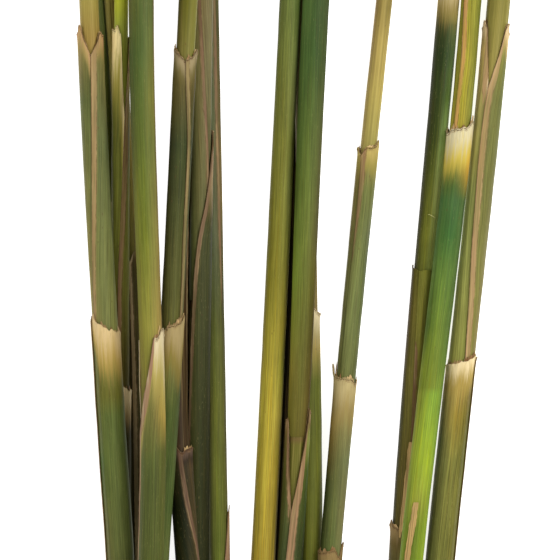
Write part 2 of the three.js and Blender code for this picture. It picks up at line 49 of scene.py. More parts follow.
REEDS = [
  {
    "name": "reed_a",
    "line": [[-65.58, -218.9, 16.21], [-62.41, -170.49, 17.82], [-58.96, -122.08, 19.48], [-61.16, -73.68, 20.92], [-64.19, -25.27, 20.67], [-67.16, 23.14, 18.62], [-69.92, 71.54, 14.97], [-72.18, 119.95, 12.31], [-74.31, 168.36, 10.77], [-76.57, 216.77, 7.7]],
    "culm": [[-218.9, 4.65], [-137.24, 4.45], [-22.21, 3.98], [89.63, 3.64], [216.77, 3.29]],
    "sheaths": [
      { "base": -137.24, "top": -14.44, "radius": [5.19, 5.4], "seam": [[-137.24, 162], [-14.44, 160]], "notch": 1.48, "half": 30, "slant": 5.18, "lean": 180 },
      { "base": -28.13, "top": 92.26, "radius": [4.72, 4.86], "seam": [[-28.13, 150], [0, 136], [29.71, 113], [52.1, 100], [92.26, 83]], "notch": 8.22, "half": 45, "slant": 1.12, "lean": 180 },
      { "base": 128, "top": 197.59, "radius": [4.21, 4.13], "seam": [[128, 150], [197.59, 120]], "notch": 9.39, "half": 30, "slant": 2.25, "lean": 0 },
    ],
  },
  {
    "name": "reed_b",
    "line": [[-60.94, -214.28, 2.95], [-60.64, -167.65, 2.89], [-61.35, -121.03, 2.85], [-63.53, -74.4, 3.52], [-64.54, -27.77, 3.64], [-65.19, 18.86, 3.88], [-66.68, 65.49, 3.35], [-69.95, 112.12, 3.21], [-73.55, 158.75, 3.3], [-77.25, 205.38, 2.26]],
    "culm": [[-214.28, 2.93], [-83.24, 2.74], [37.82, 2.55], [205.38, 2.18]],
    "sheaths": [
      { "base": -83.24, "top": 31.76, "radius": [3.41, 3.82], "seam": [[-83.24, 60], [31.76, 40]], "notch": 4.54, "half": 30, "slant": 1.89, "lean": 0 },
      { "base": 21.93, "top": 163.49, "radius": [3.12, 3.22], "seam": [[21.93, 20], [163.49, 60]], "notch": 11.35, "half": 36, "slant": 1.89, "lean": 180 },
    ],
  },
  {
    "name": "reed_c",
    "line": [[-61.14, -224.58, 9.33], [-60.53, -174.29, 9.61], [-59.65, -124, 9.81], [-59.68, -73.71, 10.54], [-59.65, -23.42, 12.53], [-59.58, 26.87, 13.58], [-59.49, 77.17, 12.75], [-59.38, 127.46, 10.32], [-59.41, 177.75, 6.03], [-59.39, 228.04, 2.51]],
    "culm": [[-224.58, 3.19], [-157.64, 3.1], [-41.19, 2.71], [94.3, 2.66], [101.08, 2.99], [123.74, 2.62], [228.04, 2.37]],
    "sheaths": [
      { "base": -157.64, "top": -39.69, "radius": [3.75, 3.98], "seam": [[-157.64, -30], [-39.69, -40]], "notch": 0.75, "half": 30, "slant": 1.12, "lean": 180 },
      { "base": -47.95, "top": 93.55, "radius": [3.3, 3.37], "seam": [[-47.95, 112], [-18.7, 106], [0, 103], [29.88, 80], [52.31, 64], [82.28, 50], [93.55, 40]], "notch": 29.19, "half": 44, "slant": 2.99, "lean": 180 },
      { "base": 129.81, "top": 200.34, "radius": [3.19, 3.18], "seam": [[129.81, 70], [200.34, 100]], "notch": 11.34, "half": 30, "slant": 1.51, "lean": 0 },
    ],
  },
  {
    "name": "reed_d",
    "line": [[-43.4, -208.99, 30.72], [-45.27, -162.1, 34.09], [-46.93, -115.21, 35.77], [-46.11, -68.31, 35.75], [-47.01, -21.42, 34.04], [-48.88, 25.47, 30.64], [-50.63, 72.36, 25.54], [-51.46, 119.25, 18.76], [-52.25, 166.15, 11.07], [-52.96, 213.04, 4.77]],
    "culm": [[-208.99, 4.02], [-130.73, 3.9], [-25.46, 3.64], [149.39, 3.55], [213.04, 3.4]],
    "sheaths": [
      { "base": -206.74, "top": -124.17, "radius": [5.02, 5.3], "seam": [[-206.74, 80], [-124.17, 60]], "notch": 5.08, "half": 30, "slant": 1.82, "lean": 0 },
      { "base": -133.65, "top": -20.74, "radius": [4.63, 4.73], "seam": [[-133.65, 178], [-55.56, 172], [-38.16, 150], [-20.74, 134]], "notch": 34.93, "half": 60, "slant": 1.46, "lean": 0 },
      { "base": -70.41, "top": 152.48, "radius": [3.9, 4.99], "seam": [[-70.41, 4], [29.25, 8], [152.48, 20]], "notch": 11.21, "half": 36, "slant": 1.87, "lean": 180 },
    ],
  },
  {
    "name": "reed_e",
    "line": [[-53.99, -211.2, 3.14], [-54.22, -163.01, 3.11], [-54.6, -114.81, 3.8], [-55.21, -66.61, 3.95], [-56.2, -18.41, 5.38], [-57.95, 29.79, 6.23], [-60.79, 77.98, 5.54], [-64.5, 126.18, 5.84], [-68.29, 174.38, 5.35], [-72.2, 222.58, 3.08]],
    "culm": [[-211.2, 3.12], [-121.03, 3.03], [15.08, 2.83], [222.58, 2.46]],
    "sheaths": [
      { "base": -122.54, "top": 12.07, "radius": [3.69, 4.09], "seam": [[-122.54, 88], [-60.49, 88], [-18.87, 88], [12.07, 88]], "notch": 5.28, "half": 30, "slant": 1.51, "lean": 180 },
      { "base": 3.77, "top": 172.1, "radius": [3.39, 3.4], "seam": [[3.77, 100], [172.1, 120]], "notch": 7.55, "half": 30, "slant": 1.51, "lean": 0 },
    ],
  },
  {
    "name": "reed_f",
    "line": [[-43.76, -220.76, 6.86], [-45.06, -173.62, 14.42], [-46.38, -126.48, 20.27], [-43.74, -79.34, 24.41], [-40.74, -32.2, 26.84], [-38.14, 14.95, 27.55], [-35.79, 62.09, 26.56], [-33.45, 109.23, 25.45], [-31.04, 156.37, 25.35], [-28.71, 203.52, 23.76]],
    "culm": [[-220.76, 4.24], [-118.38, 3.98], [-14.68, 3.71], [82.73, 3.64], [203.52, 3.23]],
    "sheaths": [
      { "base": -212.86, "top": -114.63, "radius": [4.79, 5.12], "seam": [[-212.86, 120], [-114.63, 100]], "notch": 5.18, "half": 30, "slant": 1.85, "lean": 180 },
      { "base": -123.65, "top": -15.41, "radius": [4.44, 4.71], "seam": [[-123.65, 150], [-15.41, 140]], "notch": 2.94, "half": 30, "slant": 2.94, "lean": 0 },
      { "base": -24.23, "top": 84.57, "radius": [4.04, 4.23], "seam": [[-24.23, 40], [0, 43], [14.68, 50], [47.73, 49], [62.45, 66], [75.35, 82], [84.57, 88]], "notch": 4.04, "half": 64, "slant": 1.1, "lean": 180 },
    ],
  },
  {
    "name": "reed_g",
    "line": [[-0.59, -213.55, 2.86], [-1.66, -166.58, 2.78], [-1.6, -119.61, 2.7], [1.11, -72.63, 2.62], [3.36, -25.66, 2.54], [5.18, 21.31, 2.45], [6.82, 68.29, 2.37], [8.52, 115.26, 2.28], [10.26, 162.23, 2.2], [11.99, 209.2, 2.11]],
    "culm": [[-213.55, 2.84], [-106.04, 2.65], [106.09, 2.27], [209.2, 2.08]],
    "sheaths": [
    ],
  },
  {
    "name": "reed_h",
    "line": [[-30.48, -212.21, 7.87], [-30.77, -163.06, 8.89], [-31.1, -113.91, 9.99], [-31.05, -64.76, 10.34], [-30.52, -15.61, 11.92], [-29.82, 33.54, 12.26], [-29.11, 82.69, 11.72], [-28.48, 131.84, 11.55], [-27.92, 180.99, 9.57], [-27.43, 230.14, 5.72]],
    "culm": [[-212.21, 3.76], [-75.03, 3.66], [56.15, 3.18], [230.14, 2.64]],
    "sheaths": [
      { "base": -195.53, "top": -118.59, "radius": [4.98, 5.19], "seam": [[-195.53, 60], [-118.59, 40]], "notch": 5.25, "half": 30, "slant": 1.5, "lean": 0 },
      { "base": -129.13, "top": 56.15, "radius": [4.5, 4.77], "seam": [[-129.13, 155], [-105.06, 150], [-78.04, 140], [-52.49, 134], [0, 112], [14.96, 98], [29.93, 91], [48.66, 83], [56.15, 80]], "notch": 41.18, "half": 100, "slant": 2.25, "lean": 0 },
      { "base": -7.48, "top": 174.88, "radius": [3.74, 3.85], "seam": [[-7.48, 20], [44.91, 36], [67.39, 62], [104.82, 100], [174.88, 110]], "notch": 11.26, "half": 34, "slant": 1.5, "lean": 180 },
    ],
  },
  {
    "name": "reed_i",
    "line": [[-22.03, -223.84, 3.99], [-22.25, -176.49, 4.19], [-22.81, -129.15, 4.32], [-23.53, -81.8, 4.42], [-24.31, -34.46, 4.42], [-25.13, 12.88, 4.38], [-25.99, 60.23, 3.64], [-26.83, 107.57, 3.63], [-27.67, 154.92, 3.42], [-28.53, 202.26, 2.59]],
    "culm": [[-223.84, 3.4], [-86.92, 3.12], [128.6, 2.84], [202.26, 2.56]],
    "sheaths": [
      { "base": -215.49, "top": -85.03, "radius": [4.06, 4.4], "seam": [[-215.49, -60], [-85.03, -60]], "notch": 1.51, "half": 30, "slant": 90.69, "lean": 0 },
      { "base": -185.98, "top": 140.71, "radius": [3.7, 3.59], "seam": [[-185.98, 36], [0, 36], [52.96, 42], [140.71, 50]], "notch": 9.08, "half": 32, "slant": 1.51, "lean": 180 },
    ],
  },
  {
    "name": "reed_k",
    "line": [[-32.97, -214.16, 17.2], [-32.47, -166.96, 19.32], [-33.3, -119.76, 19.73], [-36.5, -72.56, 18.42], [-38.05, -25.36, 16.13], [-37.77, 21.84, 15.35], [-36, 69.05, 16.28], [-33.21, 116.25, 17.97], [-30.43, 163.45, 18.06], [-27.75, 210.65, 16.44]],
    "culm": [[-214.16, 3.63], [-163.13, 3.52], [-61.67, 3.34], [210.65, 2.7]],
    "sheaths": [
      { "base": -161.64, "top": -60.93, "radius": [4.54, 4.46], "seam": [[-161.64, -30], [-103.8, 2], [-89.02, 44], [-74.24, 70], [-60.93, 82]], "notch": 2.23, "half": 30, "slant": 1.49, "lean": 180 },
      { "base": 125.52, "top": 191.83, "radius": [3.53, 3.46], "seam": [[125.52, 60], [191.83, 90]], "notch": 9.67, "half": 30, "slant": 1.49, "lean": 0 },
    ],
  },
  {
    "name": "reed_l",
    "line": [[-9.41, -215.31, 4.74], [-8.71, -167.07, 7.75], [-7.02, -118.83, 8.96], [-4.62, -70.59, 8.45], [-2.28, -22.35, 8.51], [0.02, 25.89, 10.36], [2.33, 74.14, 13.55], [4.69, 122.38, 15.38], [7.05, 170.62, 15.43], [9.42, 218.86, 13.69]],
    "culm": [[-215.31, 4.16], [-116.47, 3.95], [104.41, 3.24], [218.86, 2.89]],
    "sheaths": [
      { "base": -212.22, "top": -122.49, "radius": [5, 5.31], "seam": [[-212.22, 210], [-122.49, 200]], "notch": 6.01, "half": 30, "slant": 1.88, "lean": 0 },
      { "base": -131.53, "top": 128.93, "radius": [4.62, 3.86], "seam": [[-131.53, 230], [128.93, 230]], "notch": 8.94, "half": 30, "slant": 1.49, "lean": 180 },
    ],
  },
  {
    "name": "reed_m",
    "line": [[0.55, -218.44, 9.83], [1.14, -169.22, 10.58], [3.02, -120, 11.53], [5.87, -70.78, 12.06], [8.07, -21.56, 14.42], [9.99, 27.66, 16.64], [12.09, 76.87, 16.99], [14.68, 126.09, 15.48], [17.3, 175.31, 12.11], [19.95, 224.53, 6.87]],
    "culm": [[-218.44, 3.94], [-157.41, 3.84], [-52.35, 3.46], [104.22, 4.09], [145.53, 3.73], [224.53, 3.39]],
    "sheaths": [
      { "base": -157.41, "top": -49.35, "radius": [4.78, 4.67], "seam": [[-157.41, 140], [-104.87, 112], [-84.62, 99], [-67.36, 95], [-49.35, 89]], "notch": 35.14, "half": 54, "slant": 2.99, "lean": 0 },
      { "base": -58.35, "top": 148.55, "radius": [3.93, 5.47], "seam": [[-58.35, 10], [7.45, 10], [148.55, 24]], "notch": 7.47, "half": 30, "slant": 1.49, "lean": 180 },
      { "base": 162.95, "top": 212.85, "radius": [4.22, 4.21], "seam": [[162.95, 70], [212.85, 80]], "notch": 7.52, "half": 30, "slant": 1.5, "lean": 0 },
    ],
  },
  {
    "name": "reed_n",
    "line": [[11.7, -212.64, 3.43], [11.69, -165.06, 3.56], [11.68, -117.47, 4.54], [11.52, -69.88, 4.44], [10.89, -22.29, 5.15], [10.01, 25.3, 6.8], [9.12, 72.89, 8.48], [8.42, 120.47, 8.56], [7.77, 168.06, 6.9], [7.13, 215.65, 3.5]],
    "culm": [[-212.64, 3.41], [-120.91, 3.31], [-10.57, 3.02], [215.65, 2.46]],
    "sheaths": [
      { "base": -123.18, "top": -10.94, "radius": [4.44, 4.39], "seam": [[-123.18, 150], [-10.94, 140]], "notch": 4.53, "half": 30, "slant": 1.51, "lean": 180 },
      { "base": -19.63, "top": 127.84, "radius": [3.7, 3.57], "seam": [[-19.63, 20], [127.84, 40]], "notch": 8.27, "half": 30, "slant": 1.5, "lean": 0 },
    ],
  },
  {
    "name": "reed_o",
    "line": [[15.72, -220.4, 10.86], [15.88, -171.52, 12.27], [17.47, -122.65, 11.84], [21.4, -73.77, 9.58], [25.96, -24.9, 6.15], [30.81, 23.98, 4.26], [35.91, 72.86, 3.61], [41.19, 121.73, 3.57], [46.48, 170.61, 3.57], [51.78, 219.48, 3.31]],
    "culm": [[-220.4, 3.84], [-187.14, 3.74], [-99.69, 3.49], [-37.67, 3.31], [51.42, 3.1], [105.95, 3.12], [219.48, 2.65]],
    "sheaths": [
      { "base": -187.14, "top": -100.06, "radius": [4.4, 4.7], "seam": [[-187.14, 60], [-100.06, 40]], "notch": 3.75, "half": 30, "slant": 1.87, "lean": 0 },
      { "base": -107.14, "top": -36.17, "radius": [4.01, 4.35], "seam": [[-107.14, 24], [-36.17, 30]], "notch": 3.01, "half": 30, "slant": 1.51, "lean": 180 },
      { "base": -44.42, "top": 50.67, "radius": [3.65, 3.93], "seam": [[-44.42, 128], [15.11, 124], [30.24, 122], [50.67, 134]], "notch": 3.02, "half": 30, "slant": 1.13, "lean": 0 },
      { "base": 127.86, "top": 198.23, "radius": [3.59, 3.52], "seam": [[127.86, 70], [198.23, 80]], "notch": 8.32, "half": 30, "slant": 1.51, "lean": 180 },
    ],
  },
  {
    "name": "reed_p",
    "line": [[43.94, -218.38, 4.6], [43.95, -169.21, 4.85], [45.07, -120.04, 4.86], [48.19, -70.87, 4.62], [52.24, -21.7, 4.53], [56.74, 27.47, 4.31], [61.24, 76.64, 4.11], [65.42, 125.81, 4.05], [69.63, 174.98, 3.12], [73.8, 224.15, 2.88]],
    "culm": [[-218.38, 3.87], [-192.61, 3.78], [-92.15, 3.3], [105.83, 3.12], [128.55, 3.31], [224.15, 2.84]],
    "sheaths": [
      { "base": -198.66, "top": -92.53, "radius": [4.82, 4.85], "seam": [[-198.66, 60], [-92.53, 60]], "notch": 2.27, "half": 32, "slant": 1.51, "lean": 180 },
      { "base": -101.21, "top": 4.53, "radius": [4.15, 4.59], "seam": [[-101.21, 84], [-60.46, 88], [-30.23, 104], [4.53, 118]], "notch": 0.76, "half": 30, "slant": 1.13, "lean": 180 },
      { "base": -4.53, "top": 114.91, "radius": [3.89, 4.16], "seam": [[-4.53, -60], [114.91, -60]], "notch": 4.54, "half": 30, "slant": 1.51, "lean": 180 },
    ],
  },
  {
    "name": "reed_q",
    "line": [[44.51, -211.99, 14.25], [45.18, -164.96, 14.84], [47.73, -117.93, 14.69], [52.65, -70.9, 12.96], [58.25, -23.86, 11.76], [63.86, 23.17, 10.69], [69.01, 70.2, 7.93], [73.16, 117.23, 5.1], [77.05, 164.26, 3.98], [80.94, 211.29, 2.83]],
    "culm": [[-211.99, 4.01], [-179.01, 3.92], [-82.19, 3.74], [56.36, 3.19], [211.29, 2.75]],
    "sheaths": [
      { "base": -186.48, "top": -123.82, "radius": [4.76, 5.01], "seam": [[-186.48, 120], [-123.82, 140]], "notch": 5.97, "half": 36, "slant": 1.86, "lean": 180 },
      { "base": -134.24, "top": 57.5, "radius": [4.33, 5], "seam": [[-134.24, 170], [57.5, 160]], "notch": 2.25, "half": 30, "slant": 1.13, "lean": 0 },
      { "base": 46.56, "top": 169.4, "radius": [3.85, 3.88], "seam": [[46.56, 130], [67.7, 132], [82.87, 124], [105.65, 140], [169.4, 140]], "notch": 11.34, "half": 32, "slant": 1.51, "lean": 0 },
    ],
  },
  {
    "name": "reed_r",
    "line": [[54.47, -222.79, 5.02], [55.53, -174.18, 5.2], [58.62, -125.57, 5.61], [63.43, -76.96, 5.61], [68.68, -28.35, 5.65], [74.03, 20.26, 5.02], [79.1, 68.86, 5.09], [83.77, 117.47, 4.87], [88.39, 166.08, 4.52], [93.01, 214.69, 4.25]],
    "culm": [[-222.79, 5], [-150.93, 4.91], [-33.96, 4.24], [94.39, 4.61], [214.69, 3.78]],
    "sheaths": [
      { "base": -153.2, "top": -29.05, "radius": [5.57, 5.6], "seam": [[-153.2, 20], [-29.05, 16]], "notch": 1.13, "half": 30, "slant": 3.4, "lean": 0 },
      { "base": -40.75, "top": 94.76, "radius": [4.9, 5.1], "seam": [[-40.75, 74], [-15.1, 88], [15.1, 106], [45.31, 116], [64.19, 114], [75.51, 102], [95.14, 92]], "notch": 21.14, "half": 40, "slant": 1.89, "lean": 180 },
      { "base": 133.74, "top": 196.49, "radius": [4.53, 4.46], "seam": [[133.74, 60], [196.49, 80]], "notch": 9.82, "half": 32, "slant": 1.51, "lean": 180 },
    ],
  },
]
REED = {r["name"]: r for r in REEDS}


def rgb(h):
    c = np.array([int(h[i:i + 2], 16) / 255.0 for i in (0, 2, 4)])
    return np.where(c <= 0.04045, c / 12.92, ((c + 0.055) / 1.055) ** 2.4)


# ---------------------------------------------------------------- smooth noise
def lattice(seed, n=4096):
    return np.random.RandomState(seed % (2 ** 31)).uniform(-1, 1, n)


def noise1(x, seed):
    """Smooth noise in -1..1 along a line."""
    t = lattice(seed)
    x = np.asarray(x, float)
    i = np.floor(x).astype(int)
    f = x - i
    f = f * f * (3 - 2 * f)
    return t[i % 4096] * (1 - f) + t[(i + 1) % 4096] * f


def wrapnoise(deg, k, seed):
    """Noise round a circle with k cells."""
    t = lattice(seed, k)
    x = (np.asarray(deg, float) % 360) / 360 * k
    i = np.floor(x).astype(int)
    f = x - i
    f = f * f * (3 - 2 * f)
    return t[i % k] * (1 - f) + t[(i + 1) % k] * f


def smooth(a, b, x):
    t = np.clip((x - a) / (b - a), 0, 1)
    return t * t * (3 - 2 * t)


# ---------------------------------------------------------------- axes and radii
def spline(xs, ys):
    """Natural cubic through the points."""
    n = len(xs)
    h = np.diff(xs)
    A = np.eye(n)
    b = np.zeros(n)
    for i in range(1, n - 1):
        A[i, i - 1], A[i, i], A[i, i + 1] = h[i - 1], 2 * (h[i - 1] + h[i]), h[i]
        b[i] = 6 * ((ys[i + 1] - ys[i]) / h[i] - (ys[i] - ys[i - 1]) / h[i - 1])
    m = np.linalg.solve(A, b)

    def f(x):
        x = np.asarray(x, float)
        i = np.clip(np.searchsorted(xs, x) - 1, 0, n - 2)
        d = x - xs[i]
        return ys[i] + d * ((ys[i + 1] - ys[i]) / h[i] - h[i] * (2 * m[i] + m[i + 1]) / 6) \
            + d * d * m[i] / 2 + d ** 3 * (m[i + 1] - m[i]) / (6 * h[i])
    return f


for r in REEDS:
    P = np.array(r["line"])
    r["fx"] = spline(P[:, 1], P[:, 0])
    r["fz"] = spline(P[:, 1], P[:, 2])


def level(pairs, y):
    s = sorted(pairs)
    return np.interp(y, [p[0] for p in s], [p[1] for p in s])


def sheath_radius(s, y):
    return level([[s["base"], s["radius"][0]], [s["top"], s["radius"][1]]], y)


def culm_profile(reed):
    """Rows of (y, radius) along the culm."""
    y0, y1 = reed["line"][0][1], reed["line"][-1][1]
    stops = {p[1] for p in reed["line"]}
    for s in reed["sheaths"]:
        if s["top"] + 4 < y1:
            stops.add(s["top"] + 4)
        if s["base"] - 2 > y0:
            stops.add(s["base"] - 2)
    out = []
    for y in sorted(stops):
        r = float(level(reed["culm"], y))
        for s in reed["sheaths"]:
            if s["base"] - 2.01 <= y <= s["top"] + 4.01:
                r = min(r, float(sheath_radius(s, y)) - 0.28 - 0.42 - 0.06)
        out.append([y, r])
    return out


def station(reed, v):
    """Where station v of the bundle falls on this reed's axis, mm along Y."""
    y = (280 - v) * UNIT
    for _ in range(5):
        y = (280 - v) * UNIT * (1 - float(reed["fz"](y)) / EYE)
    return y


def stops_colour(reed, stops, y):
    """Colour along y from a list of (station, colour)."""
    ys = np.array([station(reed, v) for v, _ in stops])
    cs = np.array([rgb(h) for _, h in stops])
    o = np.argsort(ys)
    return np.stack([np.interp(y, ys[o], cs[o, k]) for k in range(3)], -1)


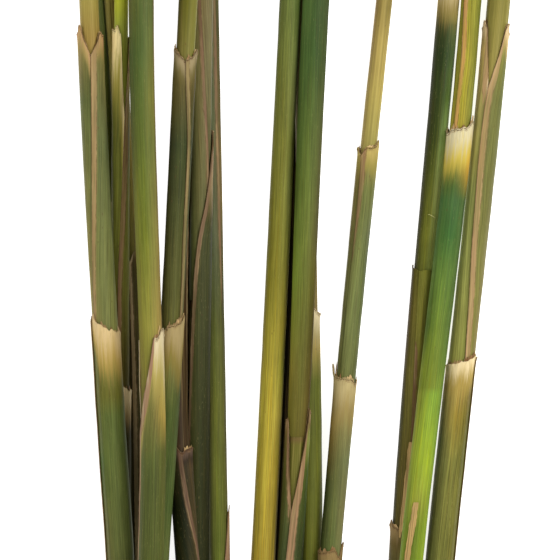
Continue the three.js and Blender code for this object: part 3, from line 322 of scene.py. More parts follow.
# ---------------------------------------------------------------- colours of each piece
# base: colour of the surface facing up at stations along the bundle, with painted shade where a reed lies under or
# between its neighbours; left and right change it towards the two sides, mixing the sides' own colour with painted side
# shade and painted light. collar: length of the pale part under the rim, mm. cream, straw: its colours.
# hand: +1 where the outer margin faces +X, -1 where it faces -X. band: width of the dry margin, mm, at stations.
LOOK = {
    "a": {
        "culm": [(-300, "8b803f"), (0, "988943"), (40, "937a3c"), (860, "5f6a34")],
        "sheaths": [
            {"base": [(329, "6e7038"), (395, "5d5c23"), (415, "55612d"), (650, "5e6133")],
             "left": [(329, "6e6c34"), (415, "51521d"), (440, "535a27"), (460, "3b511a"), (520, "585527"), (650, "5f582b")],
             "collar": 21.0, "cream": "d4b984", "straw": "aa8f49", "hand": 1, "ragged": 0.9, "flare": 0.5, "tips": [(150, 1.6, 14), (20, 0.8, 12)], "collar_side": [(168, -8.0, 34), (100, 3.0, 25)], "band": [(319, 0.9), (420, 0.8), (650, 0.8)], "bandc": "b89a6c", "fringe": 1.9, "lip": 0.35},
            {"base": [(33, "8d7f46"), (60, "646334"), (100, "596033"), (356, "737641")],
             "left": [(33, "9e844b"), (100, "5d6436"), (356, "8c7c43")],
             "right": [(33, "8f844a"), (145, "656d44"), (356, "808142")],
             "collar": 9.0, "cream": "bb9665", "straw": "9e8850", "hand": -1, "band": [(20, 2.4), (60, 2.3), (100, 2.2), (140, 1.9), (200, 1.7), (280, 1.4), (356, 1.2)], "bandc": "a28659", "ragged": 0.6, "tips": [(140, 2.6, 12), (40, 1.6, 10)], "inner_band": 0.1, "fringe": 1.0},
            {"base": [(-246, "71723b"), (-62, "646a37")],
             "collar": 14.0, "cream": "c8b685", "straw": "9a8b4b"},
        ],
    },
    "b": {
        "culm": [(-262, "82773a"), (846, "606233")],
        "sheaths": [
            {"base": [(196, "676733"), (500, "555e2c")],
             "collar": 12.0, "cream": "beac7c", "straw": "95874d"},
            {"base": [(-152, "666d35"), (60, "576330"), (222, "626735")],
             "collar": 12.0, "cream": "beac7c", "straw": "95874d"},
        ],
    },
    "c": {
        "culm": [(-322, "c4c643"), (0, "b7ba34"), (28, "9aa03c"), (390, "544a1f"), (878, "9a9b44")],
        "sheaths": [
            {"base": [(386, "716239"), (440, "433f1f"), (700, "4f5226")],
             "collar": 16.0, "cream": "ffe6b4", "straw": "b89c6c", "ragged": 0.9, "flare": 0.35, "fringe": 1.25, "lip": 0.2},
            {"base": [(30, "a48f4d"), (100, "5d6026"), (235, "71732a"), (408, "544a22")],
             "collar": 27.0, "cream": "f8e2a1", "straw": "a09341", "hand": -1, "bandc": "96744e", "band": [(30, 0.3), (80, 0.6), (100, 1.5), (145, 2.2), (190, 2.0), (280, 1.6), (408, 1.2)], "tips": [(110, 2.6, 12)], "collar_side": [(150, 8.0, 50)], "inner_band": 0.12},
            {"base": [(-250, "717535"), (-66, "696d26")],
             "collar": 12.0, "cream": "c8b685", "straw": "9a8b4b"},
        ],
    },
    "d": {
        "culm": [(-284, "becd67"), (0, "87853d"), (350, "92853b"), (852, "74974d")],
        "sheaths": [
            {"base": [(622, "545e29"), (846, "525c2a")],
             "collar": 14.0, "cream": "c8b685", "straw": "9a8b4b"},
            {"base": [(337, "877b3f"), (460, "4d5527"), (648, "434a1e")],
             "right": [(337, "9c904a"), (415, "a0873e"), (450, "515323"), (648, "4c5626")],
             "collar": 23.0, "cream": "cebe96", "straw": "a3934e", "hand": -1, "bandc": "957358", "power": 0.85, "band": [(337, 1.4), (350, 2.2), (370, 2.6), (400, 2.2), (450, 1.5), (520, 1.2), (648, 1.0)], "tips": [(34, 3.4, 13), (78, 0.8, 10)], "curl": [(30, 0.5, 18, 3.0)], "collar_side": [(20, 6.0, 30)], "flare": 0.35, "inner_band": 0.0, "fringe": 1.9},
            {"base": [(-128, "5b6030"), (55, "4a5a2a"), (235, "676f25"), (325, "837f35"), (474, "49481d")],
             "left": [(-128, "4e5322"), (10, "53541f"), (55, "394718"), (145, "484b1b"), (235, "6a6b24"), (366, "6d6522"), (474, "2c2910")],
             "right": [(-128, "67683c"), (10, "606b3c"), (100, "837f3d"), (145, "71733d"), (366, "947b43"), (474, "5b5325")],
             "collar": 12.0, "cream": "beac7c", "straw": "95874d", "veins": 0.75, "band": [(-128, 0.7), (474, 0.7)], "bandc": "8a7444"},
        ],
    },
    # reed e: its culm and first sheath are darkened as painted shade, because the reed lies lowest, under reeds a, c
    # and d
    "e": {
        "culm": [(-308, "4f4318"), (838, "393313")],
        "sheaths": [
            {"base": [(248, "473f1d"), (604, "4f4a29")],
             "collar": 8.0, "cream": "7a6944", "straw": "574927", "band": [(248, 0.9), (330, 1.3), (400, 1.7), (604, 1.6)], "bandc": "b8a078", "hand": -1, "lip": 0.3, "fringe": 0.0},
            {"base": [(-176, "7f722f"), (10, "675c24"), (55, "7f6e29"), (160, "817631"), (270, "645d2b")],
             "left": [(-176, "948f49"), (100, "948841"), (270, "766a35")],
             "collar": 9.0, "cream": "84724a", "straw": "61522c"},
        ],
    },
    "f": {
        "culm": [(-272, "6a641c"), (0, "615e1b"), (54, "6c662e"), (866, "627130")],
        "culm_left": [(-272, "464015"), (0, "423c14"), (54, "5a4f22"), (866, "5a6628")],
        "culm_right": [(-272, "8e893f"), (320, "6f6b35"), (866, "737a3c")],
        "sheaths": [
            {"base": [(590, "4e5c26"), (846, "4c5826")],
             "collar": 14.0, "cream": "c8b685", "straw": "9a8b4b"},
            {"base": [(322, "837c42"), (415, "43501e"), (614, "475622")],
             "right": [(322, "a08853"), (392, "444d29"), (505, "49592d"), (550, "616837"), (614, "50592c")],
             "collar": 17.0, "cream": "a49061", "straw": "7e6e33", "hand": 1, "tips": [(18, 2.6, 22)], "collar_side": [(10, 9.0, 60)], "ragged": 0.7, "flare": 0.4, "fringe": 1.9},
            {"base": [(54, "71662e"), (75, "5b5027"), (145, "383f20"), (346, "595829")],
             "left": [(54, "4e4a24"), (100, "4a431c"), (145, "2a2e1b"), (346, "4e4c22")],
             "collar": 10.0, "cream": "9b8a64", "straw": "6b6036", "hand": -1, "bandc": "8f7c50", "band": [(50, 1.4), (110, 1.5), (150, 1.5), (240, 1.6), (346, 1.4)], "tips": [(160, 1.6, 10), (20, 1.2, 12)], "ragged": 0.7, "flare": 0.45, "inner_band": 0.1, "fringe": 1.5},
        ],
    },
    # reed g: its near-black culm is painted shade, a dark reed under reeds l and m that darkens the slit between them
    "g": {
        "culm": [(-272, "241d09"), (844, "201a0b")],
        "sheaths": [
        ],
    },
    # reed h: its colours grow darker down the bundle as painted shade, where it lies in the recess between reeds f and
    # i
    "h": {
        "culm": [(-330, "6e653f"), (130, "68653c"), (844, "37391b")],
        "culm_left": [(-330, "a6a162"), (10, "867e47"), (135, "454021"), (844, "5a5f2b")],
        "sheaths": [
            {"base": [(462, "3a3a22"), (770, "3f4422")],
             "collar": 10.0, "cream": "8f794f", "straw": "635830"},
            {"base": [(130, "c8ac80"), (160, "a08a5c"), (190, "494b27"), (488, "323516")],
             "right": [(130, "c8ac80"), (160, "b09468"), (220, "484425"), (235, "3c3f27"), (488, "1c1e0d")],
             "left": [(130, "b89c70"), (165, "9a8458"), (200, "595b2f"), (624, "3b3d20")],
             "collar": 12.0, "cream": "e0c298", "straw": "b89a74", "hand": -1, "bandc": "80654a", "power": 1.0, "band": [(130, 1.6), (160, 2.2), (200, 2.2), (240, 1.9), (300, 1.4), (380, 1.1), (624, 1.0)], "tips": [(12, 2.6, 10)], "flare": 0.3, "inner_band": 0.0, "shape": {"seam": [(624, 155), (560, 150), (488, 140), (420, 142), (280, 146), (240, 141), (200, 112), (150, 90), (130, 80)], "notch": 127.3, "half": 100, "power": 2.0}, "lip": 0.0, "fringe": 0.4},
            {"base": [(-186, "786f40"), (0, "7a6d44"), (300, "595d31")],
             "right": [(-186, "6e6b43"), (10, "736d4b"), (300, "54562e")],
             "left": [(-186, "88854a"), (10, "8c894a"), (160, "535a2d"), (300, "4d552b")],
             "collar": 12.0, "cream": "b29a6f", "straw": "867543", "hand": 1, "band": [(-186, 1.6), (0, 1.4), (160, 1.0)], "bandc": "8c6c50"},
        ],
    },
    "i": {
        "culm": [(-254, "686728"), (872, "5a5e20")],
        "sheaths": [
            {"base": [(505, "8a6f4e"), (640, "6a6135"), (850, "5b5931")],
             "collar": 60.0, "cream": "8a6a50", "straw": "7d6046", "band": [(509, 2.4), (560, 2.2), (790, 1.0)], "bandc": "9c7c5c", "tips": [], "ragged": 0.3, "flare": 0.15},
            {"base": [(-92, "655f30"), (10, "505835"), (235, "565c3f"), (325, "535927"), (415, "636827"), (534, "5c6524")],
             "right": [(-92, "625a2e"), (10, "494827"), (190, "685831"), (280, "494829"), (534, "545426")],
             "left": [(-92, "5f5434"), (325, "454332"), (534, "5f5e33")],
             "collar": 14.0, "cream": "c0a878", "straw": "92804e", "bandc": "83684a", "band": [(-92, 1.2), (150, 1.2), (250, 0.9), (285, 0.4), (310, 0.0), (534, 0.0)]},
        ],
    },
    # reed k: its very dark culm and first sheath are painted shade, because the reed lies under reed f
    "k": {
        "culm": [(-286, "523915"), (444, "3a2c1a"), (856, "3a3a20")],
        "sheaths": [
            {"base": [(444, "302a13"), (505, "161a07"), (716, "2f3317")],
             "right": [(444, "58452e"), (480, "443a22"), (716, "443f23")],
             "collar": 6.0, "cream": "5d4a3b", "straw": "33291b", "hand": 1, "bandc": "6f5440", "band": [(444, 1.6), (480, 1.7), (520, 1.9), (550, 1.8), (716, 1.4)], "tips": [(150, 0.8, 12)], "flare": 0.4, "ragged": 0.6, "inner_band": 0.1, "fringe": 1.25},
            {"base": [(-236, "59532a"), (-58, "564f27")],
             "collar": 10.0, "cream": "a38d62", "straw": "796a3f"},
        ],
    },
    "l": {
        "culm": [(-306, "647333"), (0, "617135"), (590, "99842e"), (850, "8e802e")],
        "sheaths": [
            {"base": [(606, "968330"), (842, "8b7e31")],
             "collar": 18.0, "cream": "d0be8d", "straw": "a9964b"},
            {"base": [(-66, "556533"), (280, "797325"), (415, "a99a36"), (630, "947f2b")],
             "right": [(-66, "4c5f30"), (10, "405021"), (100, "6f7745"), (145, "636930"), (190, "818849"), (235, "969848"), (325, "9c8f38"), (370, "7c7e31"), (415, "91853d"), (460, "786924"), (630, "927c30")],
             "collar": 12.0, "cream": "beac7c", "straw": "95874d", "veins": 1.0},
        ],
    },
    "m": {
        "culm": [(-316, "59632a"), (0, "46562c"), (420, "676327"), (862, "4c5020")],
        "sheaths": [
            {"base": [(414, "7e6b3b"), (470, "525425"), (550, "3f4924"), (700, "454f27")],
             "right": [(414, "796e3c"), (440, "8b9145"), (470, "43551e"), (550, "273015"), (700, "2e3919")],
             "collar": 7.0, "cream": "a58862", "straw": "7e673d", "hand": -1, "bandc": "a07d5a", "power": 0.95, "band": [(414, 1.8), (440, 2.2), (470, 2.6), (506, 2.7), (560, 2.8), (700, 2.0)], "tips": [(36, 2.2, 9)], "curl": [(38, 0.5, 12, 3.0)], "flare": 0.3, "ragged": 0.5, "inner_band": 0.5},
            {"base": [(-118, "3f4f28"), (55, "3a5023"), (190, "5f6c2c"), (436, "615922")],
             "left": [(-118, "4e6231"), (10, "58733a"), (100, "455b29"), (190, "4e6226"), (280, "7f9336"), (370, "857a32"), (436, "696623")],
             "right": [(-118, "464c30"), (55, "414c29"), (235, "595233"), (280, "5a511f"), (325, "4d411b"), (436, "554620")],
             "collar": 12.0, "cream": "beac7c", "straw": "95874d", "veins": 0.9},
            {"base": [(-286, "606b39"), (-156, "546231")],
             "collar": 14.0, "cream": "c8b685", "straw": "9a8b4b"},
        ],
    },
    "n": {
        "culm": [(-290, "827141"), (200, "927e4a"), (290, "9d895c"), (842, "4c5424")],
        "sheaths": [
            {"base": [(309, "ba9c5b"), (380, "5a6025"), (606, "636521")],
             "collar": 15.0, "cream": "d8c89d", "straw": "a29463", "tips": [(60, 1.6, 16)], "ragged": 0.5},
            {"base": [(-60, "716b3d"), (332, "7e6f42")],
             "collar": 12.0, "cream": "c6be7e", "straw": "9c964e"},
        ],
    },
    "o": {
        "culm": [(-300, "85753d"), (10, "8a7a3e"), (55, "ac9751"), (100, "aa9950"), (200, "7f7e42"), (868, "4e5c2d")],
        "culm_left": [(-300, "907b42"), (10, "937a46"), (135, "a49153"), (868, "606b40")],
        "sheaths": [
            {"base": [(547, "92824b"), (640, "566231"), (780, "546030")],
             "collar": 12.0, "cream": "8a7347", "straw": "655125", "tips": [(20, 2.6, 16), (170, 0.8, 12)], "flare": 0.45, "fringe": 1.6},
            {"base": [(376, "978a51"), (460, "5d5f33"), (566, "54602d")],
             "left": [(376, "7c683a"), (415, "8f7439"), (480, "303818"), (566, "353d1a")],
             "right": [(376, "a78f59"), (415, "847946"), (460, "6e744f"), (505, "7a734b"), (566, "6c6b43")],
             "collar": 19.0, "cream": "b6a471", "straw": "917e49", "tips": [(168, 4.6, 9), (30, 1.0, 14)], "flare": 0.45, "curl": [(168, 0.9, 12, 4.0)], "fringe": 1.9},
            {"base": [(146, "998949"), (190, "666c38"), (325, "6c733f"), (398, "5d5f32")],
             "left": [(146, "89763d"), (235, "6a6537"), (325, "61633a"), (398, "575826")],
             "right": [(146, "98884f"), (190, "6d703b"), (235, "626947"), (280, "586136"), (398, "5b5f36")],
             "collar": 9.0, "cream": "b9a35c", "straw": "968943", "hand": -1, "bandc": "93714f", "band": [(146, 2.2), (170, 2.0), (200, 1.4), (235, 0.7), (265, 0.0), (398, 0.0)], "tips": [(160, 1.0, 12), (25, 2.2, 16)], "collar_side": [(20, 5.0, 40)], "flare": 0.4},
            {"base": [(-244, "7f8042"), (-58, "74763b")],
             "collar": 12.0, "cream": "ccb994", "straw": "a19152"},
        ],
    },
    "p": {
        "culm": [(-312, "6f6b35"), (524, "6f6735"), (858, "545825")],
        "sheaths": [
            {"base": [(527, "7c6f3d"), (600, "545425"), (806, "495124")],
             "left": [(527, "605431"), (560, "4c4421"), (806, "3a3e18")],
             "collar": 10.0, "cream": "8d764c", "straw": "67572d", "tips": [(168, 1.6, 10), (80, 1.0, 12)], "flare": 0.5, "ragged": 0.8},
            {"base": [(268, "737329"), (548, "756530")],
             "left": [(268, "393011"), (325, "423315"), (415, "242509"), (548, "2e2c0e")],
             "right": [(268, "697331"), (325, "5d6729"), (548, "6d6b2c")],
             "collar": 2.0, "cream": "6e6c34", "straw": "6a6630", "hand": -1, "bandc": "7c5c3e", "band": [(268, 0.0), (340, 0.0), (352, 1.2), (400, 1.3), (430, 1.0), (548, 0.8)], "tips": [(176, 1.4, 9)], "flare": 0.12, "ribbons": [([(441, 0.05, 0.5), (470, -0.25, 0.6), (504, -0.75, 0.5), (536, -1.4, 0.3)], 1.45, "c8a46c"), ([(504, 0.1, 0.3), (530, -0.4, 0.3)], 0.6, "a88a5c")], "lip": 0.0, "fringe": 0.0, "ragged": 0.3},
            {"base": [(-24, "7a783b"), (10, "5b5924"), (26, "353f1c"), (55, "283815"), (145, "3a4414"), (235, "696d22"), (292, "55591d")],
             "left": [(-24, "575226"), (10, "3a3716"), (55, "2b3219"), (292, "37320f")],
             "right": [(-24, "f3f0a1"), (10, "d6c96f"), (26, "6e7544"), (55, "5c7144"), (100, "667f3e"), (145, "adcb74"), (190, "e0ed8e"), (235, "e3f389"), (292, "b0c462")],
             "collar": 19.0, "cream": "c1ad7c", "straw": "88773f", "hand": -1, "ribbons": [([(214.5, -0.6, 0.05), (216, 0.6, 0.1), (218.5, 2.2, 0.15)], 0.6, "c6c47c")]},
        ],
    },
    "q": {
        "culm": [(-278, "77862c"), (130, "8c8f39"), (500, "7e8f2a"), (848, "5b7521")],
        "sheaths": [
            {"base": [(503, "8b9333"), (762, "62732a")],
             "collar": 14.0, "cream": "cebf87", "straw": "9c9a44"},
            {"base": [(127, "a7994a"), (158, "8b7f31"), (188, "445c29"), (200, "415f31"), (235, "3b612b"), (280, "5b762f"), (387, "707e2b"), (392, "789432"), (460, "91a52e"), (505, "858832"), (526, "627321")],
             "left": [(127, "b49d4f"), (158, "a19539"), (180, "616d30"), (200, "416430"), (280, "566e2e"), (325, "4c6424"), (370, "7f8e2a"), (387, "6f7c25"), (392, "83862e"), (526, "809534")],
             "right": [(127, "9a8b44"), (158, "d29f35"), (200, "3e5527"), (325, "415926"), (415, "63812d"), (526, "7c9122")],
             "collar": 17.0, "cream": "d1c59c", "straw": "c1ab48", "hand": -1, "tips": [(170, 0.8, 12), (25, 1.8, 20)], "flare": 0.38, "ragged": 0.65, "veins": 0.85, "ribbons": [([(501, -0.7, 0.3), (515, -1.0, 0.35), (530, -1.3, 0.4), (545, -1.7, 0.45), (580, -2.2, 0.2)], 2.3, "ae9059")], "fringe": 1.9},
            {"base": [(-168, "7d8131"), (100, "978e2d"), (156, "91812e")],
             "right": [(-168, "687733"), (55, "707430"), (100, "838a40"), (156, "787d37")],
             "left": [(-168, "7f8235"), (100, "928f33"), (156, "8e8231")],
             "collar": 16.0, "cream": "ccba85", "straw": "a19344", "hand": -1, "bandc": "cc9858", "band": [(-168, 1.6), (0, 1.7), (60, 1.6), (120, 1.4), (156, 1.2)], "veins": 1.3},
        ],
    },
    "r": {
        "culm": [(-288, "6f6e2e"), (370, "928342"), (870, "5f6b2e")],
        "sheaths": [
            {"base": [(363, "b7a059"), (415, "8c7a2f"), (460, "737133"), (686, "63652b")],
             "left": [(363, "d4bc82"), (395, "94874f"), (440, "6c7148"), (505, "626237"), (686, "616d3d")],
             "right": [(363, "938141"), (395, "58501c"), (415, "4c5018"), (550, "625c21"), (686, "55561e")],
             "collar": 14.0, "cream": "e9d3a1", "straw": "a28a43", "hand": -1, "band": [(363, 1.2), (390, 1.0), (420, 0.5), (686, 0.3)], "bandc": "a88c58", "tips": [(22, 1.8, 18)], "flare": 0.38, "ragged": 0.6, "veins": 1.25, "fringe": 1.9, "lip": 0.35},
            {"base": [(29, "a18f4d"), (60, "7f7a3b"), (100, "6f6f3a"), (388, "7a7c37")],
             "left": [(29, "f3cd81"), (60, "bca562"), (190, "99a15a"), (388, "afaa57")],
             "right": [(29, "917d46"), (60, "61662e"), (100, "565c2b"), (235, "6f6a3d"), (388, "71622f")],
             "collar": 11.0, "cream": "ddc294", "straw": "aa935b", "hand": -1, "bandc": "b08f62", "power": 0.9, "band": [(29, 2.6), (60, 2.6), (85, 2.3), (110, 2.2), (145, 2.3), (190, 2.2), (240, 2.0), (300, 2.0), (388, 1.9)], "tips": [(150, 3.0, 9), (38, 3.4, 10)], "curl": [(150, 0.4, 10, 4.0), (38, 0.4, 10, 4.0)], "flare": 0.3},
            {"base": [(-240, "787e3b"), (-74, "747634")],
             "collar": 14.0, "cream": "c8b685", "straw": "9a8b4b"},
        ],
    },
}

# ---------------------------------------------------------------- materials
def nodes_of(mat):
    mat.use_nodes = True
    nt = mat.node_tree
    nt.nodes.clear()
    return nt


class Tree:
    def __init__(self, nt):
        self.nt = nt

    def node(self, kind, **props):
        n = self.nt.nodes.new(kind)
        for k, v in props.items():
            setattr(n, k, v)
        return n

    def put(self, sock, value):
        if isinstance(value, bpy.types.NodeSocket):
            self.nt.links.new(value, sock)
        else:
            sock.default_value = value

    def math(self, op, a, b=0.0, c=0.0, clamp=False):
        n = self.node("ShaderNodeMath", operation=op, use_clamp=clamp)
        self.put(n.inputs[0], a)
        self.put(n.inputs[1], b)
        self.put(n.inputs[2], c)
        return n.outputs[0]

    def attr(self, name):
        n = self.node("ShaderNodeAttribute", attribute_type="GEOMETRY", attribute_name=name)
        return n

    def vec(self, x, y, z):
        n = self.node("ShaderNodeCombineXYZ")
        self.put(n.inputs[0], x)
        self.put(n.inputs[1], y)
        self.put(n.inputs[2], z)
        return n.outputs[0]

    def noise(self, vec, scale=1.0, detail=2.0, rough=0.55):
        n = self.node("ShaderNodeTexNoise", noise_dimensions="3D")
        self.put(n.inputs["Vector"], vec)
        n.inputs["Scale"].default_value = scale
        n.inputs["Detail"].default_value = detail
        n.inputs["Roughness"].default_value = rough
        return n.outputs[0]

    def ramp(self, x, a, b, lo=0.0, hi=1.0):
        n = self.node("ShaderNodeMapRange", interpolation_type="SMOOTHSTEP", clamp=True)
        self.put(n.inputs[0], x)
        self.put(n.inputs[1], a)
        self.put(n.inputs[2], b)
        self.put(n.inputs[3], lo)
        self.put(n.inputs[4], hi)
        return n.outputs[0]

    def mix(self, f, a, b, blend="MIX"):
        n = self.node("ShaderNodeMix", data_type="RGBA", blend_type=blend)
        self.put(n.inputs[0], f)
        self.put(n.inputs[6], a)
        self.put(n.inputs[7], b)
        return n.outputs[2]


def col4(h):
    return tuple(rgb(h)) + (1.0,)


def streaks(t, arc, y, seed, k, long, off, detail=2.0):
    return t.noise(t.vec(t.math("MULTIPLY", arc, k), t.math("MULTIPLY", y, long), t.math("ADD", seed, off)), 1.0, detail)


def sheath_material():
    mat = bpy.data.materials.new("dry_leaf_sheath")
    t = Tree(nodes_of(mat))
    uv = t.node("ShaderNodeSeparateXYZ")
    t.put(uv.inputs[0], t.attr("grain").outputs["Vector"])
    arc, y, seed = uv.outputs
    edge = t.node("ShaderNodeSeparateXYZ")
    t.put(edge.inputs[0], t.attr("edges").outputs["Vector"])
    rd, sd, bw = edge.outputs               # below the rim, from the outer margin, width of the dry band
    more = t.node("ShaderNodeSeparateXYZ")
    t.put(more.inputs[0], t.attr("collar").outputs["Vector"])
    clen, soft, inside = more.outputs      # collar length, strength of the veins, 1 on the inner face
    base = t.attr("base").outputs["Color"]
    cream = t.attr("cream").outputs["Color"]
    straw = t.attr("straw").outputs["Color"]

    fine = streaks(t, arc, y, seed, 5.2, 0.050, 0.0, 4.0)
    mid = streaks(t, arc, y, seed, 2.6, 0.030, 7.3, 2.0)
    wide = streaks(t, arc, y, seed, 0.55, 0.022, 13.7, 2.0)
    blot = streaks(t, arc, y, seed, 0.35, 0.10, 21.1, 3.0)

    # green body: veins, paler and yellower streaks, cloudy patches
    f1 = t.ramp(fine, 0.34, 0.66, -1.0, 1.0)
    m1 = t.ramp(mid, 0.30, 0.70, -1.0, 1.0)
    w1 = t.ramp(wide, 0.30, 0.70, -1.0, 1.0)
    b1 = t.ramp(blot, 0.30, 0.70, -1.0, 1.0)
    value = t.math("ADD", t.math("MULTIPLY", f1, 0.22), t.math("MULTIPLY", m1, 0.13))
    value = t.math("ADD", value, t.math("MULTIPLY", w1, 0.06))
    value = t.math("ADD", value, t.math("MULTIPLY", b1, 0.06))
    value = t.math("ADD", t.math("MULTIPLY", value, soft), 1.0)
    hsv = t.node("ShaderNodeHueSaturation")
    t.put(hsv.inputs["Value"], value)
    t.put(hsv.inputs["Color"], base)
    body = hsv.outputs[0]
    yellow = t.node("ShaderNodeHueSaturation")
    yellow.inputs["Hue"].default_value = 0.476
    yellow.inputs["Saturation"].default_value = 1.05
    yellow.inputs["Value"].default_value = 1.20
    t.put(yellow.inputs["Color"], body)
    body = t.mix(t.math("MULTIPLY", t.ramp(streaks(t, arc, y, seed, 4.0, 0.035, 61.0, 3.0), 0.52, 0.66), 0.60), body, yellow.outputs[0])
    brown = t.mix(0.45, body, col4("5e4426"))
    body = t.mix(t.math("MULTIPLY", t.ramp(streaks(t, arc, y, seed, 5.0, 0.05, 41.0), 0.58, 0.70), 0.50), body, brown)
    # short pale flecks along the veins
    fleck = streaks(t, arc, y, seed, 7.5, 0.45, 101.0, 2.0)
    body = t.mix(t.math("MULTIPLY", t.ramp(fleck, 0.66, 0.74), t.math("MULTIPLY", soft, 0.30)), body, col4("b9ab6c"))
    # specks
    vor = t.node("ShaderNodeTexVoronoi", feature="F1", distance="EUCLIDEAN")
    t.put(vor.inputs["Vector"], t.vec(t.math("MULTIPLY", arc, 0.62), t.math("MULTIPLY", y, 0.26), seed))
    vor.inputs["Scale"].default_value = 1.0
    spot = t.math("MULTIPLY", t.ramp(vor.outputs["Distance"], 0.10, 0.16, 1.0, 0.0), t.ramp(blot, 0.52, 0.62))
    body = t.mix(t.math("MULTIPLY", spot, 0.45), body, col4("5a4027"))

    # pale collar that fades down the sheath in streaks
    f = t.math("DIVIDE", rd, clen)
    f = t.math("ADD", f, t.math("MULTIPLY", t.math("SUBTRACT", mid, 0.5), 0.85))
    f = t.math("ADD", f, t.math("MULTIPLY", t.math("SUBTRACT", fine, 0.5), 0.45))
    f = t.math("ADD", f, t.math("MULTIPLY", t.math("SUBTRACT", wide, 0.5), 0.50))
    cr = t.node("ShaderNodeHueSaturation")
    t.put(cr.inputs["Value"], t.math("ADD", 0.97, t.math("ADD", t.math("MULTIPLY", f1, 0.09), t.math("MULTIPLY", m1, 0.07))))
    stain = t.ramp(streaks(t, arc, y, seed, 0.8, 0.22, 33.0, 4.0), 0.50, 0.68, 0.0, 0.55)
    t.put(cr.inputs["Color"], t.mix(stain, cream, t.mix(0.55, straw, cream)))
    st = t.node("ShaderNodeHueSaturation")
    t.put(st.inputs["Value"], t.math("ADD", 1.0, t.math("MULTIPLY", m1, 0.12)))
    t.put(st.inputs["Color"], straw)
    c = t.mix(t.ramp(f, 0.16, 0.74), cr.outputs[0], st.outputs[0])
    c = t.mix(t.ramp(f, 0.56, 1.14), c, body)

    # dry margin: tan band with brown edges
    wob = t.math("MULTIPLY", t.math("SUBTRACT", streaks(t, arc, y, seed, 0.0, 0.35, 77.0, 3.0), 0.5), 0.9)
    w = t.math("ADD", bw, t.math("MULTIPLY", wob, t.math("MINIMUM", bw, 1.0)))
    over = t.math("SUBTRACT", sd, w)
    inband = t.math("ADD", t.math("MULTIPLY", t.ramp(over, -0.16, 0.10, 1.0, 0.0), 0.6), t.math("MULTIPLY", t.ramp(over, -0.35, 0.75, 1.0, 0.0), 0.4))
    thin = t.ramp(streaks(t, arc, y, seed, 0.9, 0.045, 121.0, 3.0), 0.34, 0.60, 0.55, 1.0)
    inband = t.math("MULTIPLY", inband, thin)
    tone = streaks(t, arc, y, seed, 3.0, 0.06, 91.0, 2.0)
    band0 = t.attr("band").outputs["Color"]
    darkband = t.node("ShaderNodeHueSaturation")
    darkband.inputs["Value"].default_value = 0.74
    t.put(darkband.inputs["Color"], band0)
    bandc = t.mix(t.ramp(tone, 0.38, 0.62, 0.0, 0.8), band0, darkband.outputs[0])
    bandc = t.mix(t.ramp(streaks(t, arc, y, seed, 1.2, 0.05, 55.0), 0.50, 0.66, 0.0, 0.35), bandc, col4("b39c6c"))
    has = t.ramp(bw, 0.02, 0.2)
    c = t.mix(t.math("MULTIPLY", inband, has), c, bandc)
    lin = t.ramp(t.math("ABSOLUTE", t.math("SUBTRACT", sd, w)), 0.04, 0.22, 1.0, 0.0)
    lin = t.math("MULTIPLY", lin, t.ramp(streaks(t, 0.0, y, seed, 1.0, 0.22, 31.0, 3.0), 0.40, 0.58, 0.0, 0.55))
    c = t.mix(t.math("MULTIPLY", lin, has), c, col4("5d4129"))
    lip = t.math("MULTIPLY", t.ramp(sd, 0.06, 0.26, 1.0, 0.0), t.ramp(streaks(t, 0.0, y, seed, 1.0, 0.3, 63.0, 3.0), 0.34, 0.5, 0.25, 0.8))
    c = t.mix(t.math("MULTIPLY", lip, t.ramp(bw, 0.02, 0.3, 0.0, 0.9)), c, col4("4e3826"))

    # brown, frayed lip of the rim
    rr = t.math("ADD", rd, t.math("MULTIPLY", t.math("SUBTRACT", streaks(t, arc, y, seed, 1.6, 0.2, 17.0, 3.0), 0.5), 1.1))
    crisp = t.ramp(streaks(t, arc, y, seed, 1.1, 0.0, 27.0, 2.0), 0.36, 0.58, 0.25, 1.0)
    c = t.mix(t.math("MULTIPLY", t.ramp(t.math("ABSOLUTE", t.math("SUBTRACT", rr, 0.50)), 0.06, 0.34, 0.9, 0.0), crisp), c, col4("4f3724"))
    second = t.ramp(t.math("ABSOLUTE", t.math("SUBTRACT", rr, 1.15)), 0.06, 0.38, 0.45, 0.0)
    c = t.mix(t.math("MULTIPLY", second, t.ramp(wide, 0.42, 0.60)), c, col4("8a6a48"))
    torn = streaks(t, arc, y, seed, 3.4, 1.6, 47.0, 3.0)
    torn = t.math("MULTIPLY", t.ramp(torn, 0.46, 0.60), t.ramp(t.math("ADD", rd, t.math("MULTIPLY", t.math("SUBTRACT", mid, 0.5), 1.6)), 0.3, 1.7, 0.75, 0.0))
    c = t.mix(torn, c, col4("654a2e"))
    # a pale tan line right at the rim edge: the papery lip's own colour together with a painted highlight on its cut
    # thickness
    c = t.mix(t.ramp(rd, 0.05, 0.22, 0.65, 0.0), c, t.mix(0.35, cream, col4("8a6a48")))
    # the inner face is paler and duller
    c = t.mix(t.math("MULTIPLY", inside, 0.75), c, col4("75603c"))

    bs = t.node("ShaderNodeBsdfPrincipled")
    t.put(bs.inputs["Base Color"], c)
    rough = t.math("ADD", 0.52, t.math("MULTIPLY", t.math("SUBTRACT", fine, 0.5), 0.3))
    pale = t.ramp(f, 0.6, 1.1, 0.14, 0.0)
    t.put(bs.inputs["Roughness"], t.math("ADD", rough, pale))
    bs.inputs["Specular IOR Level"].default_value = 0.09
    ribs = t.noise(t.vec(t.math("MULTIPLY", arc, 3.1), t.math("MULTIPLY", y, 0.02), seed), 1.0, 1.0)
    height = t.math("ADD", t.math("MULTIPLY", ribs, 0.7), t.math("MULTIPLY", fine, 0.5))
    bump = t.node("ShaderNodeBump")
    bump.inputs["Strength"].default_value = 0.8
    bump.inputs["Distance"].default_value = 0.00010
    t.put(bump.inputs["Height"], height)
    t.put(bs.inputs["Normal"], bump.outputs[0])
    out = t.node("ShaderNodeOutputMaterial")
    t.put(out.inputs[0], bs.outputs[0])
    return mat


